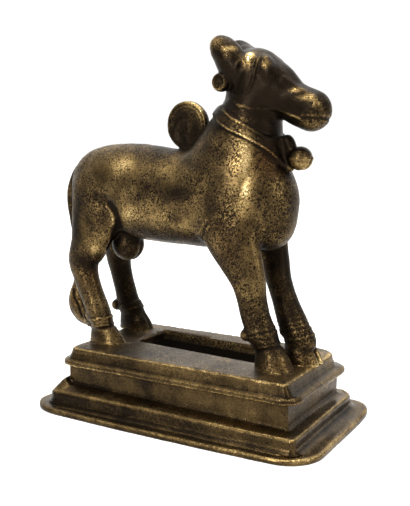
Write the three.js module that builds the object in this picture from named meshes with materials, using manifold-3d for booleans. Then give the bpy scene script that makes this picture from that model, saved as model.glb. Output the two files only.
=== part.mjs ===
// A standing Nandi, the bull of a small South Indian household shrine, on an open stepped plinth.
// Bull, trappings and plinth were cast in one from a single wax, so the whole object is one solid.
// Millimetres, +Z up. X runs along the plinth towards the bull's head and Y to the bull's left.
// The origin is on the floor, at the middle of the whole object's footprint, tail included.

import * as THREE from "three";
import * as BufferGeometryUtils from "three/addons/utils/BufferGeometryUtils.js";
import Module from "manifold-3d";

const wasm = await Module();
wasm.setup();

// Driving sizes of the plinth, from the floor up
const flangeThickness = 2.25;
const baseCourseHeight = 6.25;
const dadoHeight = 9.5;
const lipHeight = 3.05;
const topCourseHeight = 4.45;
const wallThickness = 3.2;

// How far each course stands out past the dado, at its ends and along its sides
const dadoLength = 98.6;
const dadoWidth = 50.6;
const flangeOutEnd = 13.2;
const flangeOutSide = 12.1;
const baseOutEnd = 5.75;
const baseOutSide = 7;
const lipOutEnd = 4.1;
const lipOutSide = 2.75;
const topOutEnd = 0;
const topOutSide = 1;
const flangeSideBow = 1;
const coveRise = 1.3;
const baseSwell = 2.4;
const splayRise = 0.8;
const splayTailRise = 0.9;
const splayEndRise = 1.9;
const topBatter = 1;
const edgeRounding = 0.8;

// Corner radii of each course: front left, back left, back right and front right, as the bull faces
const flangeCorners = [14.4, 12, 14.4, 14.4];
const baseCorners = [8, 4, 4, 4];
const lipCorners = [7.2, 7.2, 7.2, 7.2];
const topCorners = [8.5, 4.8, 4.8, 2];

// Driving sizes of the bull
const bullHeight = 125;
const bullTurn = THREE.MathUtils.degToRad(-4.1);
const bullShiftX = -1.4;
const bullShiftY = 0.25;

// The opening in the plinth's top, between the four feet
const openingLength = 61;
const openingWidth = 19.5;
const openingCentreX = 1.8;
const openingCentreY = 4.9;
const openingCornerRadius = 1.6;

// The tail reaches out past the plinth, so the plinth stands this far forward of the origin
const plinthForward = 5.6;

// Every place and size on the bull is a share of its height, in hundredths
const share = bullHeight / 100;

const plinthHeight = flangeThickness + baseCourseHeight + dadoHeight + lipHeight + topCourseHeight;

// Solids and joins

function toSolid(geometry) {
  const bare = geometry.clone();
  bare.deleteAttribute("normal");
  bare.deleteAttribute("uv");
  const merged = BufferGeometryUtils.mergeVertices(bare, 1e-4);
  const mesh = new wasm.Mesh({
    numProp: 3,
    vertProperties: new Float32Array(merged.attributes.position.array),
    triVerts: new Uint32Array(merged.index.array),
  });
  return new wasm.Manifold(mesh);
}

function toGeometry(solid) {
  const mesh = solid.getMesh();
  const geometry = new THREE.BufferGeometry();
  geometry.setAttribute("position", new THREE.BufferAttribute(new Float32Array(mesh.vertProperties), 3));
  geometry.setIndex(new THREE.BufferAttribute(new Uint32Array(mesh.triVerts), 1));
  geometry.computeVertexNormals();
  return geometry;
}

// A closed body through a stack of rings that all have the same number of points
function loft(rings) {
  const count = rings[0].length;
  const positions = [];
  const index = [];
  for (const ring of rings) {
    for (const point of ring) positions.push(point.x, point.y, point.z);
  }
  for (let level = 0; level < rings.length - 1; level += 1) {
    for (let k = 0; k < count; k += 1) {
      const a = level * count + k;
      const b = level * count + ((k + 1) % count);
      index.push(a, b, b + count, a, b + count, a + count);
    }
  }
  for (const [level, turned] of [[0, true], [rings.length - 1, false]]) {
    const centre = new THREE.Vector3();
    for (const point of rings[level]) centre.addScaledVector(point, 1 / count);
    const middle = positions.length / 3;
    positions.push(centre.x, centre.y, centre.z);
    for (let k = 0; k < count; k += 1) {
      const a = level * count + k;
      const b = level * count + ((k + 1) % count);
      if (turned) index.push(middle, b, a);
      else index.push(middle, a, b);
    }
  }
  const geometry = new THREE.BufferGeometry();
  geometry.setAttribute("position", new THREE.BufferAttribute(new Float32Array(positions), 3));
  geometry.setIndex(index);
  return geometry;
}

// Plinth

const cornerSteps = 4;
const sideSteps = 3;

const allCorners = (radius) => [radius, radius, radius, radius];
const grown = (radii, by) => radii.map((radius) => radius + by);

// The outline of one level of the plinth: a rectangle with round corners and a slight outward bow
function planRing(height, halfLength, halfWidth, radii, bow = 0) {
  const ring = [];
  const corners = [[1, 1, 0], [-1, 1, 90], [-1, -1, 180], [1, -1, 270]];
  corners.forEach(([signX, signY, startDegrees], corner) => {
    const own = radii[corner];
    const centreX = signX * (halfLength - own);
    const centreY = signY * (halfWidth - own);
    for (let step = 0; step <= cornerSteps; step += 1) {
      const angle = THREE.MathUtils.degToRad(startDegrees + (90 * step) / cornerSteps);
      ring.push(new THREE.Vector3(centreX + own * Math.cos(angle), centreY + own * Math.sin(angle), height));
    }
    const alongX = corner % 2 === 0;
    const following = (corner + 1) % 4;
    const [nextX, nextY] = corners[following];
    for (let step = 1; step < sideSteps; step += 1) {
      const along = step / sideSteps;
      const swell = bow * Math.sin(Math.PI * along);
      const x = THREE.MathUtils.lerp(centreX, nextX * (halfLength - radii[following]), along);
      const y = THREE.MathUtils.lerp(centreY, nextY * (halfWidth - radii[following]), along);
      if (alongX) ring.push(new THREE.Vector3(x, signY * (halfWidth + swell), height));
      else ring.push(new THREE.Vector3(signX * halfLength, y, height));
    }
  });
  return ring;
}

// One point of the plinth's profile: height, how far it stands out at ends and sides, and corner radii
function profileRing(height, outEnd, outSide, radii) {
  return planRing(height, dadoLength / 2 + outEnd, dadoWidth / 2 + outSide, radii);
}

function flangeRing(height, inset) {
  const halfLength = dadoLength / 2 + flangeOutEnd - inset;
  const halfWidth = dadoWidth / 2 + flangeOutSide - inset;
  return planRing(height, halfLength, halfWidth, grown(flangeCorners, -inset), flangeSideBow);
}

// The splay between base course and dado climbs towards the tail, and more steeply on that end
function splayRing(height, outEnd, outSide, radii) {
  const ring = profileRing(height, outEnd, outSide, radii);
  for (const point of ring) {
    const pastCorner = (edgeRounding - point.x - dadoLength / 2) / edgeRounding;
    point.z += splayEndRise * THREE.MathUtils.clamp(pastCorner, 0, 1);
    point.z -= (splayTailRise * point.x) / (dadoLength / 2);
  }
  return ring;
}

function plinthBody() {
  const e = edgeRounding;
  const coveTop = flangeThickness + coveRise;
  const baseTop = flangeThickness + baseCourseHeight;
  const dadoTop = baseTop + dadoHeight;
  const lipTop = dadoTop + lipHeight;
  return toSolid(loft([
    flangeRing(0, 0),
    flangeRing(flangeThickness - e, 0),
    flangeRing(flangeThickness, e),
    profileRing(coveTop, baseOutEnd + e / 2, baseOutSide + e / 2, grown(baseCorners, e / 2)),
    profileRing(coveTop + e, baseOutEnd, baseOutSide, baseCorners),
    profileRing(baseTop - baseSwell, baseOutEnd, baseOutSide, baseCorners),
    profileRing(baseTop - baseSwell / 3, 0.9 * baseOutEnd, 0.9 * baseOutSide, grown(baseCorners, -e)),
    profileRing(baseTop, 0.6 * baseOutEnd, 0.6 * baseOutSide, grown(baseCorners, -2 * e)),
    splayRing(baseTop + splayRise, e, e, allCorners(2 * e)),
    splayRing(baseTop + splayRise + 2 * e, 0, 0, allCorners(e)),
    profileRing(dadoTop, 0, 0, allCorners(e)),
    profileRing(dadoTop + e / 4, lipOutEnd - e, lipOutSide - e, grown(lipCorners, -e)),
    profileRing(dadoTop + lipHeight / 4, lipOutEnd, lipOutSide, lipCorners),
    profileRing(dadoTop + lipHeight / 2, lipOutEnd, lipOutSide, lipCorners),
    profileRing(lipTop - lipHeight / 5, lipOutEnd - e, lipOutSide - e, grown(lipCorners, -e)),
    profileRing(lipTop, topOutEnd + topBatter, topOutSide + topBatter / 2, topCorners),
    profileRing(plinthHeight - 2 * e, topOutEnd, topOutSide, topCorners),
    profileRing(plinthHeight - e / 2, topOutEnd - e, topOutSide - e / 2, topCorners),
    profileRing(plinthHeight, topOutEnd - 3 * e, topOutSide - 1.5 * e, topCorners),
  ]));
}

// The hollow follows the outside at one wall's thickness and is open underneath
function plinthHollow() {
  const baseTop = flangeThickness + baseCourseHeight;
  const ceiling = plinthHeight - wallThickness;
  const ledge = baseTop - wallThickness;
  const inEnd = baseOutEnd - wallThickness;
  const inSide = baseOutSide - wallThickness;
  const wide = allCorners(2 * edgeRounding);
  const narrow = allCorners(edgeRounding);
  return toSolid(loft([
    profileRing(-wallThickness, inEnd, inSide, wide),
    profileRing(ledge, inEnd, inSide, wide),
    profileRing(ledge + edgeRounding, -wallThickness, -wallThickness, narrow),
    profileRing(ceiling, -wallThickness, -wallThickness, narrow),
  ]));
}

function plinthOpening() {
  const shape = new THREE.Shape();
  const x = openingLength / 2;
  const y = openingWidth / 2;
  const r = openingCornerRadius;
  shape.moveTo(-x + r, -y);
  shape.lineTo(x - r, -y);
  shape.absarc(x - r, -y + r, r, -Math.PI / 2, 0);
  shape.lineTo(x, y - r);
  shape.absarc(x - r, y - r, r, 0, Math.PI / 2);
  shape.lineTo(-x + r, y);
  shape.absarc(-x + r, y - r, r, Math.PI / 2, Math.PI);
  shape.lineTo(-x, -y + r);
  shape.absarc(-x + r, -y + r, r, Math.PI, 1.5 * Math.PI);
  const depth = 3 * wallThickness;
  const geometry = new THREE.ExtrudeGeometry(shape, { depth, bevelEnabled: false, curveSegments: 3 });
  geometry.translate(openingCentreX, openingCentreY, -1.5 * wallThickness);
  return toSolid(geometry);
}

// Clay: the bull's body as chains of stations that flow into one another
// A station is [x, y, z, deep, wide]: its place, and its half-sizes in the upright plane and across

const trunk = [
  [-40.5, 0, 52.4, 11.5, 11], [-33, 0, 52.1, 15.2, 13.2], [-20, 0, 50.4, 15.9, 13.4],
  [-5, 0, 49.6, 15.4, 13.4], [8, 0, 50.3, 16.2, 13.6], [17, 0, 51, 15.6, 12.8], [20.7, 0, 50, 13.3, 11.5],
];
const neck = [
  [13.5, 0, 56, 17.3, 12.3], [14.3, 0, 62, 16.4, 11.5], [16.1, 0, 69, 13.3, 10.2], [17.8, 0, 74.5, 10.5, 8.9],
  [18.8, 0, 79, 9.2, 7.9], [19.1, 0, 83, 8.7, 7.5], [19.7, 0, 87, 7.6, 7.2],
];
const head = [
  [20, 0, 87, 7.6, 7.2], [26, 0, 83.5, 7.5, 6.2], [32.5, 0, 79.2, 5.8, 4.7], [38.3, 0, 76.8, 6, 5.2],
];
const brisket = [[22.2, 0, 43.7, 9.2, 8.5], [24.8, 0, 42.8, 8, 7.5]];
const scrotum = [[-30.4, 0, 37, 5.2, 4.6], [-30.2, 0, 32.5, 5.8, 5.2]];
const hornRoot = [[15.4, -5, 89.6, 5, 3.9], [13.8, -5.4, 92, 4.2, 3.5]];
const nearFore = [
  [14, -8.5, 44, 9.5, 4.8], [18, -8.8, 37, 8.4, 4.6], [20.5, -8.6, 32, 7.1, 4.3], [22.6, -8, 26.5, 5.8, 4],
  [23.9, -7.4, 20, 4.7, 3.9], [25, -7, 15, 4.6, 3.9], [27, -6.8, 10.5, 4.6, 4.2], [29, -6.6, 6.8, 3.9, 3.5],
  [30.2, -6.4, 3, 2.8, 2.8],
];
const farFore = [
  [15, 8.5, 44, 9, 4.8], [19.3, 8.8, 37, 7.6, 4.5], [22.3, 8.4, 31.5, 5.3, 4.1], [24.9, 7.2, 25, 4.1, 3.9],
  [27.9, 6.2, 18.5, 4.1, 3.9], [30.4, 5.9, 13, 4.6, 4], [32.8, 5.8, 8.5, 4.6, 4.1], [34.2, 5.8, 5.5, 4, 3.8],
  [35, 5.8, 3, 2.8, 2.8],
];
const nearHind = [
  [-36.8, -7.8, 47, 10.8, 5.6], [-37.9, -8.6, 39.5, 9.4, 5.3], [-39.2, -9.6, 33, 7.4, 4.8],
  [-41.1, -10.4, 27, 5.9, 4.3], [-40, -10.7, 21.5, 4.6, 3.9], [-37.6, -10.7, 16, 4.1, 3.7],
  [-34.8, -10.7, 10.5, 4.1, 3.8], [-32.8, -10.7, 6.2, 3.7, 3.4], [-31.8, -10.6, 3, 2.8, 2.8],
];
const farHind = [
  [-37.5, 8, 47, 10.4, 5.6], [-40.4, 9.2, 37, 8, 5], [-42.8, 10, 30, 5.6, 4.5],
  [-43.3, 10.4, 26, 4.8, 4.2], [-42.2, 10.6, 20, 4, 3.7], [-40.6, 10.8, 14.5, 3.9, 3.6],
  [-38.9, 10.8, 9, 4.1, 3.8], [-37.2, 10.9, 5.5, 3.8, 3.6], [-36.4, 10.9, 3, 2.8, 2.8],
];
const tuft = [
  [-48, -4.2, 20.5, 1.9, 1.8], [-48, -4.8, 17.5, 2.3, 2], [-48.5, -5.8, 13.2, 3.6, 2.4],
  [-47.4, -6.9, 10.4, 3.9, 2.5], [-44.8, -8.2, 8, 3.2, 2.4], [-41.2, -9.4, 6.9, 2.7, 2.4],
  [-37.4, -10.2, 6.6, 2.4, 2.4],
];
const brow = [[24.3, -4.6, 90.3, 2.3, 1.9], [25.4, -5, 87.6, 2, 1.6]];
const spanSteps = 4;
const bodyBlend = 3.2;
const limbBlend = 2.4;

function mirrored(stations) {
  return stations.map(([x, y, z, deep, wide]) => [x, -y, z, deep, wide]);
}

// Links of a chain after a smooth curve has been run through its stations
function smoothChain(stations, blend) {
  const places = new THREE.CatmullRomCurve3(stations.map(([x, y, z]) => new THREE.Vector3(x, y, z)));
  const sizes = new THREE.CatmullRomCurve3(stations.map((s) => new THREE.Vector3(s[3], s[4], 0)));
  const count = (stations.length - 1) * spanSteps;
  const links = [];
  for (let k = 0; k < count; k += 1) {
    links.push({
      from: places.getPoint(k / count),
      to: places.getPoint((k + 1) / count),
      sizeFrom: sizes.getPoint(k / count),
      sizeTo: sizes.getPoint((k + 1) / count),
    });
  }
  return { links, blend };
}

const legs = {
  nearFore: smoothChain(nearFore, limbBlend).links,
  farFore: smoothChain(farFore, limbBlend).links,
  nearHind: smoothChain(nearHind, limbBlend).links,
  farHind: smoothChain(farHind, limbBlend).links,
};

const chains = [
  smoothChain(trunk, bodyBlend), smoothChain(neck, bodyBlend), smoothChain(brisket, bodyBlend),
  smoothChain(head, limbBlend), smoothChain(scrotum, limbBlend / 2),
  smoothChain(hornRoot, limbBlend / 2), smoothChain(mirrored(hornRoot), limbBlend / 2),
  ...Object.values(legs).map((links) => ({ links, blend: limbBlend })),
  smoothChain(tuft, limbBlend / 3),
  smoothChain(brow, limbBlend / 3), smoothChain(mirrored(brow), limbBlend / 3),
];

// Distance to the oval section at the chain's nearest place
function chainDistance(links, x, y, z) {
  let closest = Infinity;
  let upright = 0;
  let across = 0;
  let deep = 1;
  let wide = 1;
  for (const { from, to, sizeFrom, sizeTo } of links) {
    const dx = to.x - from.x;
    const dy = to.y - from.y;
    const dz = to.z - from.z;
    const reach = (x - from.x) * dx + (y - from.y) * dy + (z - from.z) * dz;
    const along = Math.min(1, Math.max(0, reach / (dx * dx + dy * dy + dz * dz)));
    const offX = x - from.x - along * dx;
    const offY = y - from.y - along * dy;
    const offZ = z - from.z - along * dz;
    const apart = offX * offX + offY * offY + offZ * offZ;
    if (apart >= closest) continue;
    closest = apart;
    upright = Math.hypot(offX, offZ);
    across = offY;
    deep = sizeFrom.x + along * (sizeTo.x - sizeFrom.x);
    wide = sizeFrom.y + along * (sizeTo.y - sizeFrom.y);
  }
  const scaled = Math.hypot(upright / deep, across / wide);
  const slope = Math.hypot(upright / (deep * deep), across / (wide * wide));
  return slope < 1e-6 ? -Math.min(deep, wide) : (scaled * (scaled - 1)) / slope;
}

// The smooth minimum lets neighbouring masses flow together within the blend
function smoothMin(a, b, blend) {
  const near = Math.max(blend - Math.abs(a - b), 0) / blend;
  return Math.min(a, b) - (near * near * blend) / 4;
}

function clayDistance(x, y, z) {
  let distance = Infinity;
  for (const { links, blend } of chains) {
    const nearest = chainDistance(links, x, y, z);
    distance = distance === Infinity ? nearest : smoothMin(distance, nearest, blend);
  }
  return distance;
}

function claySlope(point) {
  const step = 0.05;
  return new THREE.Vector3(
    clayDistance(point.x + step, point.y, point.z) - clayDistance(point.x - step, point.y, point.z),
    clayDistance(point.x, point.y + step, point.z) - clayDistance(point.x, point.y - step, point.z),
    clayDistance(point.x, point.y, point.z + step) - clayDistance(point.x, point.y, point.z - step),
  ).divideScalar(2 * step);
}

// Moves a point onto the clay's skin, or to a height above it
function onClay(point, height = 0) {
  const placed = point.clone();
  for (let pass = 0; pass < 5; pass += 1) {
    const distance = clayDistance(placed.x, placed.y, placed.z) - height;
    const slope = claySlope(placed);
    placed.addScaledVector(slope, -distance / Math.max(slope.lengthSq(), 0.2));
  }
  return placed;
}

// Grid lines from stretches of [start, end, spacing]: close together where the form is small
function gridLines(stretches) {
  const lines = [stretches[0][0]];
  for (const [start, end, spacing] of stretches) {
    const steps = Math.round((end - start) / spacing);
    for (let step = 1; step <= steps; step += 1) lines.push(start + ((end - start) * step) / steps);
  }
  return lines;
}

const cellCorners = [0, 1, 2, 3, 4, 5, 6, 7].map((corner) => [corner & 1, (corner >> 1) & 1, corner >> 2]);
const cellEdges = [1, 2, 4].flatMap((axis) => [0, 1, 2, 3, 4, 5, 6, 7]
  .filter((corner) => !(corner & axis)).map((corner) => [corner, corner | axis]));

// Numbers the separate lumps among a cell's inside corners, so that close limbs don't share a point
function cellLumps(inside) {
  const lump = inside.map((isInside, corner) => (isInside ? corner : -1));
  for (let pass = 0; pass < 6; pass += 1) {
    for (const [a, b] of cellEdges) {
      if (lump[a] >= 0 && lump[b] >= 0) lump[a] = lump[b] = Math.min(lump[a], lump[b]);
    }
  }
  return lump;
}

// The skin of the clay as squares: a point in each cell that the skin crosses, a square for each crossed edge
function claySquares(lines) {
  const counts = lines.map((axis) => axis.length);
  const at = (i, j, k) => (k * counts[1] + j) * counts[0] + i;
  const place = (node) => new THREE.Vector3(...node.map((n, axis) => lines[axis][n]));
  const values = new Float32Array(counts[0] * counts[1] * counts[2]);
  for (let k = 0; k < counts[2]; k += 1) {
    for (let j = 0; j < counts[1]; j += 1) {
      for (let i = 0; i < counts[0]; i += 1) {
        values[at(i, j, k)] = clayDistance(lines[0][i], lines[1][j], lines[2][k]);
      }
    }
  }
  const points = [];
  const owners = new Map();
  for (let k = 0; k < counts[2] - 1; k += 1) {
    for (let j = 0; j < counts[1] - 1; j += 1) {
      for (let i = 0; i < counts[0] - 1; i += 1) {
        const nodes = cellCorners.map(([p, q, r]) => [i + p, j + q, k + r]);
        const depths = nodes.map((node) => values[at(...node)]);
        const lump = cellLumps(depths.map((depth) => depth < 0));
        for (const name of new Set(lump.filter((value) => value >= 0))) {
          const centre = new THREE.Vector3();
          let crossings = 0;
          for (const [a, b] of cellEdges) {
            if (depths[a] < 0 === depths[b] < 0 || (lump[a] !== name && lump[b] !== name)) continue;
            centre.add(place(nodes[a]).lerp(place(nodes[b]), depths[a] / (depths[a] - depths[b])));
            crossings += 1;
          }
          if (crossings === 0) continue;
          points.push(onClay(centre.divideScalar(crossings)));
          lump.forEach((value, corner) => {
            if (value === name) owners.set(`${at(i, j, k)}:${at(...nodes[corner])}`, points.length - 1);
          });
        }
      }
    }
  }
  const squares = [];
  const strides = [1, counts[0], counts[0] * counts[1]];
  for (let k = 1; k < counts[2] - 1; k += 1) {
    for (let j = 1; j < counts[1] - 1; j += 1) {
      for (let i = 1; i < counts[0] - 1; i += 1) {
        const node = at(i, j, k);
        for (let axis = 0; axis < 3; axis += 1) {
          const other = node + strides[axis];
          if (values[node] < 0 === values[other] < 0) continue;
          const solidEnd = values[node] < 0 ? node : other;
          const u = strides[(axis + 1) % 3];
          const v = strides[(axis + 2) % 3];
          const cells = [node, node - u, node - u - v, node - v];
          const square = cells.map((cell) => owners.get(`${cell}:${solidEnd}`));
          squares.push(values[node] < 0 ? square : square.reverse());
        }
      }
    }
  }
  return { points, squares };
}

// Evens out the points along the skin: each moves to the middle of its neighbours and back onto the clay
function evenOut(points, squares, passes) {
  let even = points;
  for (let pass = 0; pass < passes; pass += 1) {
    const sums = even.map(() => new THREE.Vector3());
    const numbers = even.map(() => 0);
    for (const square of squares) {
      square.forEach((point, k) => {
        sums[point].add(even[square[(k + 1) % 4]]).add(even[square[(k + 3) % 4]]);
        numbers[point] += 2;
      });
    }
    even = even.map((point, k) => onClay(point.clone().lerp(sums[k].divideScalar(numbers[k]), 0.7)));
  }
  return even;
}

// Splits each square along the diagonal that lies closer to the clay
function claySkin(lines) {
  const { points, squares } = claySquares(lines);
  const even = evenOut(points, squares, 5);
  const depth = (a, b) => {
    const middle = even[a].clone().lerp(even[b], 0.5);
    return Math.abs(clayDistance(middle.x, middle.y, middle.z));
  };
  const positions = new Float32Array(even.flatMap((point) => [point.x, point.y, point.z]));
  const geometry = new THREE.BufferGeometry();
  geometry.setAttribute("position", new THREE.BufferAttribute(positions, 3));
  geometry.setIndex(squares.flatMap(([a, b, c, d]) => (
    depth(a, c) < depth(b, d) ? [a, b, c, a, c, d] : [a, b, d, b, c, d]
  )));
  return geometry;
}

// Rings round a path, each turned to face along it, for horns, tail and cords
function tubeRings(path, sizes, sides, sideways = new THREE.Vector3(0, 1, 0)) {
  return path.map((point, k) => {
    const before = path[Math.max(0, k - 1)];
    const after = path[Math.min(path.length - 1, k + 1)];
    const forward = after.clone().sub(before).normalize();
    const up = forward.clone().cross(sideways).normalize();
    const across = up.clone().cross(forward).normalize();
    const ring = [];
    for (let side = 0; side < sides; side += 1) {
      const angle = (2 * Math.PI * side) / sides;
      ring.push(point.clone()
        .addScaledVector(up, sizes[k][0] * Math.cos(angle))
        .addScaledVector(across, -sizes[k][1] * Math.sin(angle)));
    }
    return ring;
  });
}

function smoothPath(points, count) {
  return new THREE.CatmullRomCurve3(points.map((p) => new THREE.Vector3(...p))).getPoints(count - 1);
}

// A raised cord that lies on the clay's skin
function ridge(points, radius, count) {
  const path = smoothPath(points, count).map((point) => onClay(point, radius / 3));
  return toSolid(loft(tubeRings(path, path.map(() => [radius, radius]), 5)));
}

// Places on the bull's left, carried to one side or the other
function onSide(points, side) {
  return points.map(([x, y, z]) => [x, side * y, z]);
}

// Horns: short blunt cones that point back and up

const hornPath = [[14.8, 4.8, 89.4], [12.5, 5.5, 93.2], [10.1, 6, 96.2], [8.2, 6.3, 98]];
const hornRadius = 4.8;
const hornFlatness = 0.88;

function horn(side) {
  const path = smoothPath(onSide(hornPath, side), 7);
  const sizes = path.map((point, k) => {
    const along = k / (path.length - 1);
    const radius = hornRadius * Math.sqrt(1 - (0.985 * along) ** 2.1);
    return [radius, hornFlatness * radius];
  });
  return toSolid(loft(tubeRings(path, sizes, 10)));
}

// Tail

const tailPath = [
  [-45.6, 0, 60.4], [-50.9, 0, 57.2], [-55.7, 0, 51], [-56.5, 0, 44.5], [-54.2, -0.6, 37.5],
  [-51.3, -1.4, 31.5], [-49.3, -2.8, 26], [-48.3, -4.6, 19], [-48.4, -5.8, 13],
];
const tailRadius = 2.4;
const tailWaist = 0.9;

function tail() {
  const path = smoothPath(tailPath, 13);
  const sizes = path.map((point, k) => {
    const along = k / (path.length - 1);
    const radius = tailRadius - tailWaist * Math.sin(Math.PI * Math.min(0.8, 1.25 * along));
    return [radius, radius];
  });
  return toSolid(loft(tubeRings(path, sizes, 7)));
}

// Hump: an upright wheel-shaped boss on the withers, dished on both faces

const humpPlace = [-5.3, 0, 72.7];
const humpRadius = 7.5;
const humpThickness = 2.8;

function hump() {
  const half = humpThickness / 2;
  const profile = [
    [0, -half * 0.4], [humpRadius * 0.6, -half * 0.45], [humpRadius * 0.8, -half],
    [humpRadius * 0.95, -half], [humpRadius, -half * 0.55], [humpRadius, half * 0.55],
    [humpRadius * 0.95, half], [humpRadius * 0.8, half], [humpRadius * 0.6, half * 0.45], [0, half * 0.4],
  ].map(([x, y]) => new THREE.Vector2(x, y));
  const geometry = new THREE.LatheGeometry(profile, 22);
  geometry.translate(...humpPlace);
  return toSolid(geometry);
}

// A closed band round the clay: the section's points are carried round and laid on the skin
function wrappedBand(steps, section, layPoint) {
  const positions = [];
  const index = [];
  const count = section.length;
  for (let step = 0; step < steps; step += 1) {
    for (const [along, out] of section) {
      const point = layPoint((2 * Math.PI * step) / steps, along, out);
      positions.push(point.x, point.y, point.z);
    }
    for (let k = 0; k < count; k += 1) {
      const a = step * count + k;
      const b = step * count + ((k + 1) % count);
      const c = ((step + 1) % steps) * count + k;
      const d = ((step + 1) % steps) * count + ((k + 1) % count);
      index.push(a, c, d, a, d, b);
    }
  }
  const geometry = new THREE.BufferGeometry();
  geometry.setAttribute("position", new THREE.BufferAttribute(new Float32Array(positions), 3));
  geometry.setIndex(index);
  return toSolid(geometry);
}

// Collar: a flat band with raised edges that widens at the throat and narrows at the nape

const collarCentre = [16.9, 0, 70.9];
const collarHalfLength = 13.3;
const collarHalfWidth = 9.2;
const collarSlope = 0.445;
const collarSideRise = 2;
const collarBackRise = 2.8;
const collarBand = 4.5;
const collarThroatBand = 10.5;
const collarNapeBand = 3.1;
const collarStandOut = 2.1;
const collarSection = [
  [-0.5, -0.9], [-0.5, 1], [-0.38, 1], [-0.3, 0.55], [0.3, 0.55], [0.38, 1], [0.5, 1], [0.5, -0.9],
];
const bellRadius = 3.5;
const bellPlace = [35.1, 0, 63];

function collar() {
  return wrappedBand(24, collarSection, (angle, along, out) => {
    const cos = Math.cos(angle);
    const sin = Math.sin(angle);
    const throat = Math.max(0, cos) ** 8;
    const nape = Math.max(0, -cos) ** 3;
    const wider = throat * (collarThroatBand - collarBand);
    const narrower = nape * (collarBand - collarNapeBand);
    const band = collarBand + wider - narrower;
    const rise = (collarSideRise + collarBackRise * Math.max(0, -cos)) * sin * sin;
    return onClay(new THREE.Vector3(
      collarCentre[0] + collarHalfLength * cos + (0.13 - 0.41 * cos) * along * band,
      collarHalfWidth * sin,
      collarCentre[2] - collarSlope * collarHalfLength * cos + rise + 0.9 * along * band,
    ), out * collarStandOut);
  });
}

function ball(place, radius, across = 12, upward = 8) {
  const geometry = new THREE.SphereGeometry(radius, across, upward);
  geometry.rotateX(Math.PI / 2);
  geometry.translate(...place);
  return toSolid(geometry);
}

// The loop at the throat that the bell hangs from

const loopPath = [[27.6, 0, 67.5], [30.4, 0, 68.6], [32, 0, 66.6], [33, 0, 63]];

function collarLoop() {
  const path = smoothPath(loopPath, 5);
  return toSolid(loft(tubeRings(path, path.map(() => [1.6, 1.8]), 8)));
}

// Feet: a cloven hoof, a raised band above it and two dew claws behind

function hoof({ x, y, height, halfLength, halfWidth, cleft }) {
  const sides = 14;
  const sunk = 0.5;
  const levels = [[-sunk, 1, 0], [0.6, 1, 0], [height * 0.45, 0.92, 0.05], [height, 0.77, 0.24]];
  return toSolid(loft(levels.map(([level, size, back]) => {
    const ring = [];
    for (let side = 0; side < sides; side += 1) {
      const angle = (2 * Math.PI * side) / sides;
      const notch = side === 0 ? 1 - cleft : 1;
      ring.push(new THREE.Vector3(
        x + halfLength * (size * notch * Math.cos(angle) - back),
        y + halfWidth * size * Math.sin(angle),
        level,
      ));
    }
    return ring;
  })));
}

const pasternBand = [[-0.9, -0.6], [-0.5, 0.6], [0.5, 0.6], [0.9, -0.6]];
const pasternSlope = 0.35;

// The leg's own oval at a height, grown by a little, higher at the toe than at the heel
function legRing(leg, height, grow) {
  const sides = 14;
  const link = leg.find(({ to }) => to.z < height);
  const along = (link.from.z - height) / (link.from.z - link.to.z);
  const centre = link.from.clone().lerp(link.to, along);
  const size = link.sizeFrom.clone().lerp(link.sizeTo, along);
  const ring = [];
  for (let side = 0; side < sides; side += 1) {
    const angle = (2 * Math.PI * side) / sides;
    const forward = (size.x + grow) * Math.cos(angle);
    ring.push(new THREE.Vector3(
      centre.x + forward,
      centre.y + (size.y + grow) * Math.sin(angle),
      height + pasternSlope * forward,
    ));
  }
  return ring;
}

function foot(place) {
  const { leg, ankle, claw } = place;
  const pieces = [hoof(place)];
  for (const side of [-1, 1]) pieces.push(ball([claw[0], place.y + side * claw[1], claw[2]], claw[3], 8, 5));
  pieces.push(toSolid(loft(pasternBand.map(([up, grow]) => legRing(leg, ankle + up, grow)))));
  return pieces;
}

const feet = [
  {
    x: 31.2, y: -6.3, height: 7, halfLength: 6.2, halfWidth: 4.8, cleft: 0.08,
    leg: legs.nearFore, ankle: 8.2, claw: [22.8, 2.4, 9.8, 2],
  },
  {
    x: 34.6, y: 6.1, height: 6.8, halfLength: 6.1, halfWidth: 5.8, cleft: 0.34,
    leg: legs.farFore, ankle: 8, claw: [29.2, 2.2, 9.4, 1.7],
  },
  {
    x: -30.9, y: -10.3, height: 5.6, halfLength: 6.9, halfWidth: 4.2, cleft: 0.1,
    leg: legs.nearHind, ankle: 7, claw: [-37.2, 1.8, 8.8, 1.7],
  },
  {
    x: -35.7, y: 11, height: 6.6, halfLength: 6.5, halfWidth: 4.8, cleft: 0.2,
    leg: legs.farHind, ankle: 7.4, claw: [-42.9, 2, 7.9, 2],
  },
];

// Head ornaments on each side: a bead behind the ear, the ear's rim with a knob over it, the halter's cord

const bead = { place: [11.8, 7, 85.2], radius: 2.8 };
const knob = { place: [20.5, 5.2, 91.5], radius: 2.3 };
const earRim = [
  [16.8, 5, 94.6], [16, 8, 88], [16.4, 8, 83.4], [18.6, 8, 81.6],
  [21, 7.8, 83], [22.2, 7.4, 87], [23.2, 5.4, 92.6],
];
const halterCord = [[17.6, 8, 79], [25.5, 7, 77.6], [31, 6, 76], [37.5, 4, 74.2]];
const rimRadius = 0.6;
const cordRadius = 0.45;

function headOrnaments() {
  return [-1, 1].flatMap((side) => [
    horn(side),
    ball(onSide([bead.place], side)[0], bead.radius, 10, 7),
    ball(onSide([knob.place], side)[0], knob.radius, 8, 5),
    ridge(onSide(earRim, side), rimRadius, 12),
    ridge(onSide(halterCord, side), cordRadius, 8),
  ]);
}

// Bull

// Stretches of the skin's grid, [start, end, spacing]: fine at the legs and head, coarse along the flanks
const gridAlong = [[-60, -26, 3.1], [-26, 9, 7], [9, 50, 3.1]];
const gridAcross = [[-19, 19, 3.4]];
const gridUp = [[-4, 12, 3.2], [12, 34, 4.4], [34, 64, 4.8], [64, 104, 3.1]];

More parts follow.
